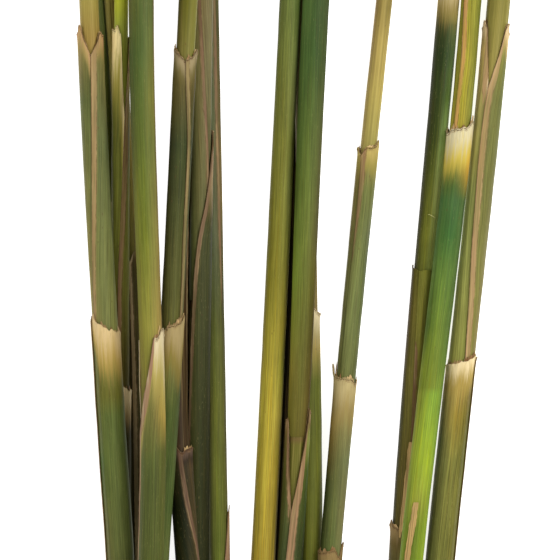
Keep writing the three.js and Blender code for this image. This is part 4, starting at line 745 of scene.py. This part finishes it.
def culm_material():
    mat = bpy.data.materials.new("dry_reed_culm")
    t = Tree(nodes_of(mat))
    uv = t.node("ShaderNodeSeparateXYZ")
    t.put(uv.inputs[0], t.attr("grain").outputs["Vector"])
    arc, y, seed = uv.outputs
    e = t.node("ShaderNodeSeparateXYZ")
    t.put(e.inputs[0], t.attr("edges").outputs["Vector"])
    end, deep, node = e.outputs             # 1 on a cut end, 1 in the hollow, 1 on a node ring
    base = t.attr("base").outputs["Color"]
    fine = streaks(t, arc, y, seed, 5.0, 0.035, 0.0, 3.0)
    mid = streaks(t, arc, y, seed, 1.6, 0.018, 5.0, 2.0)
    blot = streaks(t, arc, y, seed, 0.5, 0.12, 9.0, 3.0)
    hsv = t.node("ShaderNodeHueSaturation")
    v = t.math("ADD", t.math("MULTIPLY", t.ramp(fine, 0.3, 0.7, -1.0, 1.0), 0.08), t.math("MULTIPLY", t.ramp(mid, 0.3, 0.7, -1.0, 1.0), 0.10))
    t.put(hsv.inputs["Value"], t.math("ADD", 1.0, t.math("ADD", v, t.math("MULTIPLY", t.ramp(blot, 0.3, 0.7, -1.0, 1.0), 0.05))))
    t.put(hsv.inputs["Color"], base)
    c = hsv.outputs[0]
    c = t.mix(t.math("MULTIPLY", t.ramp(mid, 0.56, 0.70), 0.35), c, t.mix(0.5, c, col4("c9b06a")))
    c = t.mix(t.math("MULTIPLY", t.ramp(streaks(t, arc, y, seed, 2.4, 0.03, 15.0), 0.60, 0.72), 0.4), c, col4("7a5a3a"))
    vor = t.node("ShaderNodeTexVoronoi", feature="F1")
    t.put(vor.inputs["Vector"], t.vec(t.math("MULTIPLY", arc, 0.6), t.math("MULTIPLY", y, 0.22), seed))
    vor.inputs["Scale"].default_value = 1.0
    c = t.mix(t.math("MULTIPLY", t.ramp(vor.outputs["Distance"], 0.09, 0.15, 1.0, 0.0), t.ramp(blot, 0.50, 0.6, 0.0, 0.5)), c, col4("5f4327"))
    c = t.mix(t.math("MULTIPLY", node, 0.7), c, col4("6d5232"))
    wood = t.mix(t.ramp(t.noise(t.vec(t.math("MULTIPLY", arc, 2.5), t.math("MULTIPLY", deep, 3.0), seed), 3.0, 3.0), 0.35, 0.65), col4("d9c79a"), col4("b39a66"))
    c = t.mix(end, c, wood)
    c = t.mix(deep, c, col4("8d7648"))
    bs = t.node("ShaderNodeBsdfPrincipled")
    t.put(bs.inputs["Base Color"], c)
    t.put(bs.inputs["Roughness"], t.math("ADD", 0.38, t.math("ADD", t.math("MULTIPLY", fine, 0.16), t.math("MULTIPLY", end, 0.35))))
    bs.inputs["Specular IOR Level"].default_value = 0.08
    bump = t.node("ShaderNodeBump")
    bump.inputs["Strength"].default_value = 0.45
    bump.inputs["Distance"].default_value = 0.00008
    t.put(bump.inputs["Height"], fine)
    t.put(bs.inputs["Normal"], bump.outputs[0])
    out = t.node("ShaderNodeOutputMaterial")
    t.put(out.inputs[0], bs.outputs[0])
    return mat


SHEATH = sheath_material()
CULM = culm_material()


# ---------------------------------------------------------------- meshes
def make_object(name, co, faces, attrs, mat):
    me = bpy.data.meshes.new(name)
    co = (co + SHIFT) / 1000.0
    quads = [f for f in faces if f.shape[1] == 4]
    tris = [f for f in faces if f.shape[1] == 3]
    loops = np.concatenate([f.ravel() for f in quads + tris])
    sizes = np.concatenate([np.full(len(f), f.shape[1]) for f in quads + tris])
    me.vertices.add(len(co))
    me.vertices.foreach_set("co", co.astype(np.float32).ravel())
    me.loops.add(len(loops))
    me.loops.foreach_set("vertex_index", loops.astype(np.int32))
    me.polygons.add(len(sizes))
    me.polygons.foreach_set("loop_start", np.concatenate([[0], np.cumsum(sizes)[:-1]]).astype(np.int32))
    me.polygons.foreach_set("loop_total", sizes.astype(np.int32))
    me.update(calc_edges=True)
    me.validate()
    for key, arr in attrs.items():
        if key in ("grain", "edges", "collar"):
            a = me.attributes.new(key, "FLOAT_VECTOR", "POINT")
            a.data.foreach_set("vector", arr.astype(np.float32).ravel())
        else:
            a = me.attributes.new(key, "FLOAT_COLOR", "POINT")
            a.data.foreach_set("color", np.concatenate([arr, np.ones((len(arr), 1))], 1).astype(np.float32).ravel())
    me.polygons.foreach_set("use_smooth", np.ones(len(sizes), bool))
    me.materials.append(mat)
    ob = bpy.data.objects.new(name, me)
    bpy.context.scene.collection.objects.link(ob)
    return ob


def sharpen(ob, angle=50):
    """Smooth shading that keeps the thin edges crisp."""
    me = ob.data
    try:
        me.set_sharp_from_angle(angle=math.radians(angle))
    except Exception:
        pass


def grid_faces(nr, nc, start=0):
    i, j = np.meshgrid(np.arange(nr - 1), np.arange(nc - 1), indexing="ij")
    a = (start + i * nc + j).ravel()
    return np.stack([a, a + 1, a + nc + 1, a + nc], 1)


# Mixes the upward face's colour with the two sides' colours, which carry painted side shade and painted light besides
# the sides' own colour.
def blend_side_colour_and_shade(colour_c, colour_l, colour_r, ang):
    w = np.cos(np.radians(ang))[..., None]
    wl = np.clip(-w, 0, 1) ** 1.3
    wr = np.clip(w, 0, 1) ** 1.3
    return colour_c * (1 - wl - wr) + colour_l * wl + colour_r * wr


def build_sheath(reed, index, seed):
    s = reed["sheaths"][index]
    look = LOOK[reed["name"][5:]]["sheaths"][index]
    if "shape" in look:
        s = dict(s, **look["shape"])
        s["seam"] = [(station(reed, v), a) for v, a in s["seam"]]
    hand = look.get("hand", 1)
    base, top = s["base"], s["top"]
    L = top - base
    nc = 116
    th = np.linspace(0, 360 + TURN, nc)
    seam = sorted(s["seam"])
    sy = np.array([p[0] for p in seam])
    sa = np.array([p[1] for p in seam])

    def seam_at(y):
        # a rounded version of the seam's course
        k = 6.0
        return (np.interp(y - k, sy, sa) + np.interp(y, sy, sa) * 2 + np.interp(y + k, sy, sa)) / 4

    frm = np.minimum(th, np.abs(360 - th))
    frm = np.where(th > 360, 0, frm)
    absolute = seam_at(top) + hand * th
    power = s.get("power", look.get("power", 1.0))
    cut = s["notch"] * np.clip(1 - frm / s["half"], 0, 1) ** power
    cut = cut + s["slant"] * (1 - np.cos(np.radians(absolute - s["lean"]))) / 2
    rag = look.get("ragged", 0.45)
    cut = cut + rag * (0.55 * wrapnoise(absolute, 9, seed) + 0.35 * wrapnoise(absolute, 23, seed + 1) + 0.32 * wrapnoise(absolute, 61, seed + 2))
    cut = cut + rag * 2.2 * np.clip(wrapnoise(absolute, 31, seed + 3) - 0.5, 0, 1)
    cut = cut - rag * 1.4 * np.clip(wrapnoise(absolute, 43, seed + 4) - 0.6, 0, 1)
    for where, height, width in look.get("tips", []):
        d = (absolute - where + 180) % 360 - 180
        cut = cut - height * np.exp(-(d / width) ** 2)
    cut = cut - cut.min() * 0
    zone = min(L * 0.92, max(cut.max() * 1.25 + 8, 14))
    nr = int(L / 1.15) + 26
    t = np.linspace(0, 1, nr)
    # rows closer together near the rim
    t = np.concatenate([np.linspace(0, 1 - min(0.5, 7.0 / L), nr - 24), np.linspace(1 - min(0.5, 7.0 / L), 1, 25)[1:]])
    nr = len(t)
    y0 = base + t * L
    g = np.clip((y0 - (top - zone)) / zone, 0, 1)
    y = y0[:, None] - g[:, None] * cut[None, :]
    rd = (y[-1][None, :] - y)
    ang = seam_at(y) + hand * th[None, :]
    R = sheath_radius(s, y)
    # a slow waviness, the lap of the margins, the lip at the rim
    arcmm = np.radians(th)[None, :] * R
    r = R + 0.05 * noise1(y / 9 + 3, seed + 5) * 1.0
    r = r + 0.035 * wrapnoise(ang, 26, seed + 6)
    tuck = smooth(322, 352, th)[None, :]
    r = r - tuck * 0.44
    lift = np.exp(-(arcmm / 0.9) ** 2)
    r = r + 0.07 * lift
    flare = look.get("flare", 0.30)
    fl = (flare * (0.55 + 0.9 * np.clip(wrapnoise(absolute, 13, seed + 8), -0.5, 1)))[None, :]
    r = r + fl * np.exp(-rd / 1.1)
    crinkle = 0.12 * wrapnoise(absolute, 47, seed + 9) + 0.07 * wrapnoise(absolute, 83, seed + 10)
    r = r + crinkle[None, :] * np.exp(-rd / 1.0)
    for where, amount, width, reach in look.get("curl", []):
        d = (absolute - where + 180) % 360 - 180
        r = r + (amount * np.exp(-(d / width) ** 2))[None, :] * np.exp(-rd / reach)
    foot = np.exp(-(y - base) / 1.2)
    r = r - 0.20 * foot
    cx = reed["fx"](y)
    cz = reed["fz"](y)
    rad_ = np.radians(ang)

    def layer(rr):
        return np.stack([cx + rr * np.cos(rad_), y, cz + rr * np.sin(rad_)], -1)

    outer, inner = layer(r), layer(r - WALL - 0.10 * np.exp(-rd / 0.8))
    # never under the floor
    n = nr * nc
    co = np.concatenate([outer.reshape(-1, 3), inner.reshape(-1, 3)])
    co[:, 2] = np.maximum(co[:, 2], -SHIFT[2] + 0.01)
    F = grid_faces(nr, nc)
    out_f = F if hand < 0 else F[:, ::-1]
    in_f = (F + n)[:, ::-1] if hand < 0 else F + n
    faces = [out_f, in_f]
    j = np.arange(nc - 1)
    top_a = (nr - 1) * nc + j
    top_q = np.stack([top_a, top_a + 1, top_a + 1 + n, top_a + n], 1)
    bot_q = np.stack([j + 1, j, j + n, j + 1 + n], 1)
    i = np.arange(nr - 1)
    lef = i * nc
    lef_q = np.stack([lef, lef + nc, lef + nc + n, lef + n], 1)
    rig = i * nc + nc - 1
    rig_q = np.stack([rig + nc, rig, rig + n, rig + nc + n], 1)
    for q in (top_q, bot_q, lef_q, rig_q):
        faces.append(q if hand < 0 else q[:, ::-1])

    def both(a, b=None):
        a = np.broadcast_to(a, (nr, nc) + np.shape(a)[2:]).reshape(n, -1)
        if b is None:
            b = a
        return np.concatenate([a, b])

    arc_abs = np.radians(hand * th)[None, :] * np.mean(R) + 0 * y
    grain = np.stack([arc_abs, y, np.full_like(y, (seed % 97) * 1.7)], -1).reshape(n, 3)
    bands = look.get("band", [])
    if bands:
        by = np.array([station(reed, v) for v, _ in bands])
        bwid = np.array([w for _, w in bands])
        o = np.argsort(by)
        bw = np.interp(y, by[o], bwid[o])
    else:
        bw = np.zeros_like(y)
    sd = arcmm + 0 * y
    # where the rim runs steeply it is a free margin too: near it, measure to that line instead
    plain = s["notch"] * np.clip(1 - frm / s["half"], 0, 1) ** power + s["slant"] * (1 - np.cos(np.radians(absolute - s["lean"]))) / 2
    steep = np.abs(np.gradient(plain, np.radians(th) * float(np.mean(R))))
    steep = np.convolve(np.pad(steep, 2, mode="edge"), np.ones(5) / 5, mode="valid")
    across = rd / np.sqrt(1 + steep[None, :] ** 2)
    margin = smooth(1.2, 2.6, steep)[None, :] * (th < 350)[None, :]
    sd = np.where(margin > 0.02, np.minimum(sd, across / np.maximum(margin, 0.02)), sd)
    only = look.get("inner_band", 1.0)
    far = (th > 180)[None, :] & (across < sd + 1e-6)
    bw = np.where(far, bw * only, bw)
    edges = np.stack([rd + 2.2 * margin + 3.0 * (1 - look.get("lip", 1.0)), sd, bw], -1).reshape(n, 3)
    clen = look.get("collar", 8.0)
    cang = np.full_like(y, clen)
    for where, amount, width in look.get("collar_side", []):
        d = (ang - where + 180) % 360 - 180
        cang = cang + amount * np.exp(-(d / width) ** 2)
    coll = np.stack([np.maximum(cang, 0.5), np.full_like(y, look.get("veins", 1.0)), np.zeros_like(y)], -1).reshape(n, 3)
    coll_in = coll.copy()
    coll_in[:, 2] = 1
    # surface colour with painted shade along the sheath and painted side shade and light on its two sides
    base_c = stops_colour(reed, look["base"], y)
    base_l = stops_colour(reed, look.get("left", look["base"]), y)
    base_r = stops_colour(reed, look.get("right", look["base"]), y)
    colour = blend_side_colour_and_shade(base_c, base_l, base_r, ang) * GAIN
    attrs = {
        "grain": np.concatenate([grain, grain]),
        "edges": np.concatenate([edges, edges]),
        "collar": np.concatenate([coll, coll_in]),
        "base": both(colour),
        "cream": both(np.broadcast_to(rgb(look.get("cream", "dccb9a")) * GAIN, (nr, nc, 3))),
        "straw": both(np.broadcast_to(rgb(look.get("straw", "ab9a58")) * GAIN, (nr, nc, 3))),
        "band": both(np.broadcast_to(rgb(look.get("bandc", "a98a60")) * GAIN, (nr, nc, 3))),
    }
    # a torn papery fringe stands inside the rim
    fringe = look.get("fringe", 0.75)
    if fringe > 0 and s["slant"] < 40:
        m2 = 260
        th2 = np.linspace(4, 352, m2)
        absolute2 = seam_at(top) + hand * th2
        rim2 = np.interp(th2, th, y[-1])
        rise = fringe * np.clip(0.35 + 0.55 * wrapnoise(absolute2, 29, seed + 20) + 0.45 * wrapnoise(absolute2, 71, seed + 21), 0.0, 1.3)
        steep2 = np.interp(th2, th, steep)
        rise = rise * np.clip(1.6 - steep2 / 2.0, 0.0, 1.0) * smooth(0, 10, th2 - 4) * smooth(0, 10, 352 - th2)
        levels = np.array([-1.5, -1.0, -0.5, 0.0, 0.35, 0.7, 1.0])
        up = np.where(levels[:, None] < 0, levels[:, None] * 1.0, levels[:, None] * rise[None, :])
        y2 = rim2[None, :] + up
        bend = 0.10 * wrapnoise(absolute2, 37, seed + 22)[None, :] * np.clip(up, 0, 1)
        R2 = sheath_radius(s, np.minimum(y2, top))
        ro = R2 - WALL - 0.16 - 0.03 * np.clip(up, 0, 1) + bend + 0.35 * fl.max() * np.exp(-np.abs(np.minimum(up, 0)) / 0.8)
        ang2 = np.radians(seam_at(y2) + hand * th2[None, :])
        k2 = len(levels)

        def sheet(rr):
            return np.stack([reed["fx"](y2) + rr * np.cos(ang2), y2, reed["fz"](y2) + rr * np.sin(ang2)], -1).reshape(-1, 3)
        c2 = np.concatenate([sheet(ro), sheet(ro - 0.07)])
        c2[:, 2] = np.maximum(c2[:, 2], -SHIFT[2] + 0.01)
        F2 = grid_faces(k2, m2)
        q2 = k2 * m2
        f2 = [F2 if hand < 0 else F2[:, ::-1], (F2 + q2)[:, ::-1] if hand < 0 else F2 + q2]
        j = np.arange(m2 - 1)
        ta = (k2 - 1) * m2 + j
        i = np.arange(k2 - 1)
        le = i * m2
        ri = le + m2 - 1
        for q in (np.stack([ta, ta + 1, ta + 1 + q2, ta + q2], 1), np.stack([j + 1, j, j + q2, j + 1 + q2], 1),
                  np.stack([le, le + m2, le + m2 + q2, le + q2], 1), np.stack([ri + m2, ri, ri + q2, ri + m2 + q2], 1)):
            f2.append(q if hand < 0 else q[:, ::-1])
        a2 = np.stack([np.radians(hand * th2)[None, :] * float(np.mean(R)) + 0 * y2, y2 * 1.0, np.full_like(y2, 7.7 + seed % 31)], -1).reshape(-1, 3)
        one = np.ones((2 * q2, 1))
        shade = np.clip(0.5 + 0.5 * wrapnoise(absolute2, 19, seed + 23), 0, 1)
        dark, pale = rgb("694825"), rgb("cdb07a")
        fc = dark + (pale - dark) * shade[:, None]
        fc = np.broadcast_to(fc[None], (k2, m2, 3)).reshape(-1, 3)
        fc = np.concatenate([fc, fc])
        attrs2 = {
            "grain": np.concatenate([a2, a2]),
            "edges": np.concatenate([one * 60, one * 60, one * 0], 1),
            "collar": np.concatenate([one * 4, one * 1.5, one * 0.0], 1),
            "base": fc, "cream": fc, "straw": fc, "band": fc,
        }
        return join([(co, faces, attrs), (c2, f2, attrs2)])
    return co, faces, attrs


def ribbon(reed, path, width, seed, colour):
    """A torn dry strip lying on a reed: path is [station, offset from the axis in mm, lift]."""
    v = np.array(path, float)
    n = 60
    tt = np.linspace(0, 1, n)
    k = np.linspace(0, 1, len(v))
    ys = np.array([station(reed, a) for a in np.interp(tt, k, v[:, 0])])
    off = np.interp(tt, k, v[:, 1]) + 0.12 * noise1(tt * 7, seed)
    up = np.interp(tt, k, v[:, 2])
    rr = np.array([max(float(sheath_radius(s, y)) for s in reed["sheaths"] if s["base"] - 1 <= y <= s["top"] + 1) for y in ys]) + 0.12
    w = width * np.interp(tt, [0, 0.02, 0.5, 0.9, 1], [0.75, 0.95, 1.0, 0.85, 0.3]) * (1 + 0.15 * noise1(tt * 20, seed + 1))
    cx, cz = reed["fx"](ys), reed["fz"](ys)
    cols = np.linspace(-0.5, 0.5, 5)
    o = off[:, None] + w[:, None] * cols[None, :]
    z = cz[:, None] + np.sqrt(np.maximum(rr[:, None] ** 2 - np.minimum(np.abs(o), rr[:, None] * 0.98) ** 2, 0)) + up[:, None] + 0.10 * cols[None, :] ** 2 * 4
    x = cx[:, None] + o
    y = np.broadcast_to(ys[:, None], x.shape)
    upper = np.stack([x, y, z + 0.16], -1)
    lower = np.stack([x, y, z], -1)
    nr, nc = x.shape
    m = nr * nc
    co = np.concatenate([upper.reshape(-1, 3), lower.reshape(-1, 3)])
    F = grid_faces(nr, nc)
    down = ys[1] < ys[0]
    faces = [F[:, ::-1] if down else F, (F + m) if down else (F + m)[:, ::-1]]
    i = np.arange(nr - 1)
    lef = i * nc
    q1 = np.stack([lef, lef + nc, lef + nc + m, lef + m], 1)
    rig = lef + nc - 1
    q2 = np.stack([rig + nc, rig, rig + m, rig + nc + m], 1)
    j = np.arange(nc - 1)
    q3 = np.stack([j + 1, j, j + m, j + 1 + m], 1)
    e = (nr - 1) * nc + j
    q4 = np.stack([e, e + 1, e + 1 + m, e + m], 1)
    for q in (q1, q2, q3, q4):
        faces.append(q[:, ::-1] if down else q)
    grain = np.stack([o, y, np.full_like(x, seed * 0.37)], -1).reshape(m, 3)
    ones = np.ones((2 * m, 1))
    attrs = {
        "grain": np.concatenate([grain, grain]),
        "edges": np.concatenate([ones * 60, ones * 60, ones * 0], 1),
        "collar": np.concatenate([ones * 4, ones * 1.3, ones * 0], 1),
        "base": np.repeat((rgb(colour) * GAIN)[None], 2 * m, 0),
        "cream": np.repeat((rgb(colour) * GAIN)[None], 2 * m, 0),
        "straw": np.repeat((rgb(colour) * GAIN)[None], 2 * m, 0),
        "band": np.repeat((rgb(colour) * GAIN)[None], 2 * m, 0),
    }
    return co, faces, attrs


def join(parts):
    co, faces, attrs = parts[0]
    faces = list(faces)
    for c, f, a in parts[1:]:
        faces += [q + len(co) for q in f]
        co = np.concatenate([co, c])
        attrs = {k: np.concatenate([attrs[k], a[k]]) for k in attrs}
    return co, faces, attrs


def build_culm(reed, seed):
    look = LOOK[reed["name"][5:]]
    prof = culm_profile(reed)
    py = np.array([p[0] for p in prof])
    pr = np.array([p[1] for p in prof])
    y0, y1 = py[0], py[-1]
    nc = 56
    a = np.linspace(0, 360, nc, endpoint=False)
    ny = int((y1 - y0) / 2.0)
    ys = np.linspace(y0, y1, ny)
    r = np.interp(ys, py, pr)
    ring = np.zeros(ny)
    for s in reed["sheaths"]:
        d = (ys - (s["base"] - 1.2)) / 1.1
        ring = np.maximum(ring, np.exp(-d * d))
    rr = r[:, None] + 0.16 * ring[:, None] + 0.03 * wrapnoise(a, 11, seed)[None, :] + 0.03 * noise1(ys / 14, seed + 1)[:, None]
    slope0 = 0.5 * np.cos(np.radians(a - 40 * (seed % 9))) + 0.12 * wrapnoise(a, 19, seed + 2)
    slope1 = 0.6 * np.cos(np.radians(a - 55 * (seed % 7))) + 0.12 * wrapnoise(a, 17, seed + 3)
    Y = np.repeat(ys[:, None], nc, 1)
    Y[0] += slope0
    Y[1] += slope0 * 0.3
    Y[-1] += slope1
    Y[-2] += slope1 * 0.3
    rows_y, rows_r, end, deep, nodef = [], [], [], [], []

    def add(yrow, rrow, e, d, nd=0.0):
        rows_y.append(yrow); rows_r.append(rrow); end.append(e); deep.append(d); nodef.append(nd)
    b0 = rr[0] * BORE * (1 + 0.04 * wrapnoise(a, 7, seed + 4))
    b1 = rr[-1] * BORE * (1 + 0.04 * wrapnoise(a, 7, seed + 5))
    add(np.full(nc, y0 + BORE_DEPTH), b0 * 0.30, 1, 1)
    add(np.full(nc, y0 + BORE_DEPTH), b0 * 0.92, 1, 1)
    add(np.full(nc, y0 + 2.5), b0, 1, 0.8)
    add(Y[0] + 0.25, b0, 1, 0.2)
    add(Y[0], b0 + 0.15, 1, 0)
    add(Y[0], (b0 + rr[0]) / 2, 1, 0)
    add(Y[0], rr[0] - 0.16, 1, 0)
    for k in range(ny):
        yy, rk = Y[k], rr[k]
        if k == 0:
            yy = yy + 0.14
        if k == ny - 1:
            yy = yy - 0.14
        add(yy, rk, 0, 0, ring[k])
    add(Y[-1], rr[-1] - 0.16, 1, 0)
    add(Y[-1], (b1 + rr[-1]) / 2, 1, 0)
    add(Y[-1], b1 + 0.15, 1, 0)
    add(Y[-1] - 0.25, b1, 1, 0.2)
    add(np.full(nc, y1 - 2.5), b1, 1, 0.8)
    add(np.full(nc, y1 - BORE_DEPTH), b1 * 0.92, 1, 1)
    add(np.full(nc, y1 - BORE_DEPTH), b1 * 0.30, 1, 1)
    yy = np.array(rows_y)
    rad_ = np.array(rows_r)
    nr = len(yy)
    cx, cz = reed["fx"](yy), reed["fz"](yy)
    A = np.radians(a)[None, :]
    co = np.stack([cx + rad_ * np.cos(A), yy, cz + rad_ * np.sin(A)], -1).reshape(-1, 3)
    i, j = np.meshgrid(np.arange(nr - 1), np.arange(nc), indexing="ij")
    k = (j + 1) % nc
    q = np.stack([i * nc + j, (i + 1) * nc + j, (i + 1) * nc + k, i * nc + k], -1).reshape(-1, 4)
    jj = np.arange(nc)
    kk = (jj + 1) % nc
    c0, c1 = len(co), len(co) + 1
    mid0 = co[:nc].mean(0)
    mid1 = co[(nr - 1) * nc:nr * nc].mean(0)
    co = np.concatenate([co, mid0[None], mid1[None]])
    co[:, 2] = np.maximum(co[:, 2], -SHIFT[2] + 0.01)
    t0 = np.stack([np.full(nc, c0), jj, kk], 1)
    t1 = np.stack([np.full(nc, c1), (nr - 1) * nc + kk, (nr - 1) * nc + jj], 1)
    n = nr * nc
    grain = np.stack([np.radians(a)[None, :] * 3.6 + 0 * yy, yy, np.full_like(yy, (seed % 89) * 1.9)], -1).reshape(n, 3)
    # the grain coordinate wraps round without a visible join: mirror it on the lower side
    grain[:, 0] = (np.abs(((np.repeat(a[None, :], nr, 0) + 90) % 360) - 180) / 57.3 * 3.6).reshape(-1)
    edges = np.stack([np.repeat(np.array(end, float)[:, None], nc, 1), np.repeat(np.array(deep, float)[:, None], nc, 1), np.repeat(np.array(nodef, float)[:, None], nc, 1)], -1).reshape(n, 3)
    # culm colour with painted shade along the culm and painted side shade and light on its two sides (culm_left,
    # culm_right)
    cc = stops_colour(reed, look["culm"], yy)
    cl = stops_colour(reed, look.get("culm_left", look["culm"]), yy)
    cr = stops_colour(reed, look.get("culm_right", look["culm"]), yy)
    colour = (blend_side_colour_and_shade(cc, cl, cr, np.repeat(a[None, :], nr, 0)) * GAIN).reshape(n, 3)

    def cap(arr):
        return np.concatenate([arr, arr[:1], arr[-1:]])
    return co, [q, t0, t1], {"grain": cap(grain), "edges": cap(edges), "base": cap(colour)}


GAIN = 1.0
for number, reed in enumerate(REEDS):
    key = reed["name"][5:]
    co, faces, attrs = build_culm(reed, 1000 + number * 37)
    ob = make_object("look_" + reed["name"] + "_culm", co, faces, attrs, CULM)
    sharpen(ob)
    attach(ob, "root")
    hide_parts(reed["name"] + "_culm")
    for k in range(len(reed["sheaths"])):
        part = build_sheath(reed, k, 2000 + number * 131 + k * 17)
        extra = LOOK[key]["sheaths"][k].get("ribbons", [])
        if extra:
            part = join([part] + [ribbon(reed, p, w, 40 + q, c) for q, (p, w, c) in enumerate(extra)])
        ob = make_object("look_%s_sheath_%d" % (reed["name"], k + 1), part[0], part[1], part[2], SHEATH)
        sharpen(ob, 60)
        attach(ob, "root")
        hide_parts("%s_sheath_%d" % (reed["name"], k + 1))

# ---------------------------------------------------------------- floor, light, camera
me = bpy.data.meshes.new("floor")
me.from_pydata([(-4, -4, -0.0003), (4, -4, -0.0003), (4, 4, -0.0003), (-4, 4, -0.0003)], [], [(0, 1, 2, 3)])
floor = bpy.data.objects.new("floor", me)
bpy.context.scene.collection.objects.link(floor)
fm = bpy.data.materials.new("pale_floor")
nt = nodes_of(fm)
d = nt.nodes.new("ShaderNodeBsdfPrincipled")
d.inputs["Base Color"].default_value = (0.93, 0.93, 0.93, 1)
d.inputs["Roughness"].default_value = 0.9
d.inputs["Specular IOR Level"].default_value = 0.1
d.inputs["Emission Color"].default_value = (1, 1, 1, 1)
d.inputs["Emission Strength"].default_value = 0.80
o = nt.nodes.new("ShaderNodeOutputMaterial")
nt.links.new(d.outputs[0], o.inputs[0])
me.materials.append(fm)

world = bpy.data.worlds.new("studio")
bpy.context.scene.world = world
world.use_nodes = True
bg = world.node_tree.nodes["Background"]
bg.inputs[0].default_value = (1.0, 1.0, 1.0, 1)
bg.inputs[1].default_value = 0.52


def area(name, loc, aim, size, power):
    l = bpy.data.lights.new(name, "AREA")
    l.shape = "SQUARE"
    l.size = size
    l.energy = power
    ob = bpy.data.objects.new(name, l)
    bpy.context.scene.collection.objects.link(ob)
    ob.location = loc
    v = np.array(aim, float) - np.array(loc, float)
    from mathutils import Vector
    ob.rotation_euler = Vector(v).to_track_quat("-Z", "Y").to_euler()
    return ob


area("soft_key", (0.75, 0.35, 1.25), (0, 0, 0), 0.9, 17.0)
area("soft_fill", (-0.8, -0.3, 1.1), (0, 0, 0), 0.9, 4.0)

cam = bpy.data.cameras.new("camera")
cam.sensor_width = 36.0
cam.lens = 36.0 * EYE / (560 * UNIT)
cam.clip_start = 0.05
cam.clip_end = 20
eye = bpy.data.objects.new("camera", cam)
bpy.context.scene.collection.objects.link(eye)
eye.location = (SHIFT[0] / 1000, SHIFT[1] / 1000, (EYE + SHIFT[2]) / 1000)
eye.rotation_euler = (0, 0, 0)
bpy.context.scene.camera = eye

scene = bpy.context.scene
scene.view_settings.view_transform = "Standard"
scene.view_settings.look = "None"
scene.view_settings.exposure = 0.0
scene.view_settings.gamma = 1.0
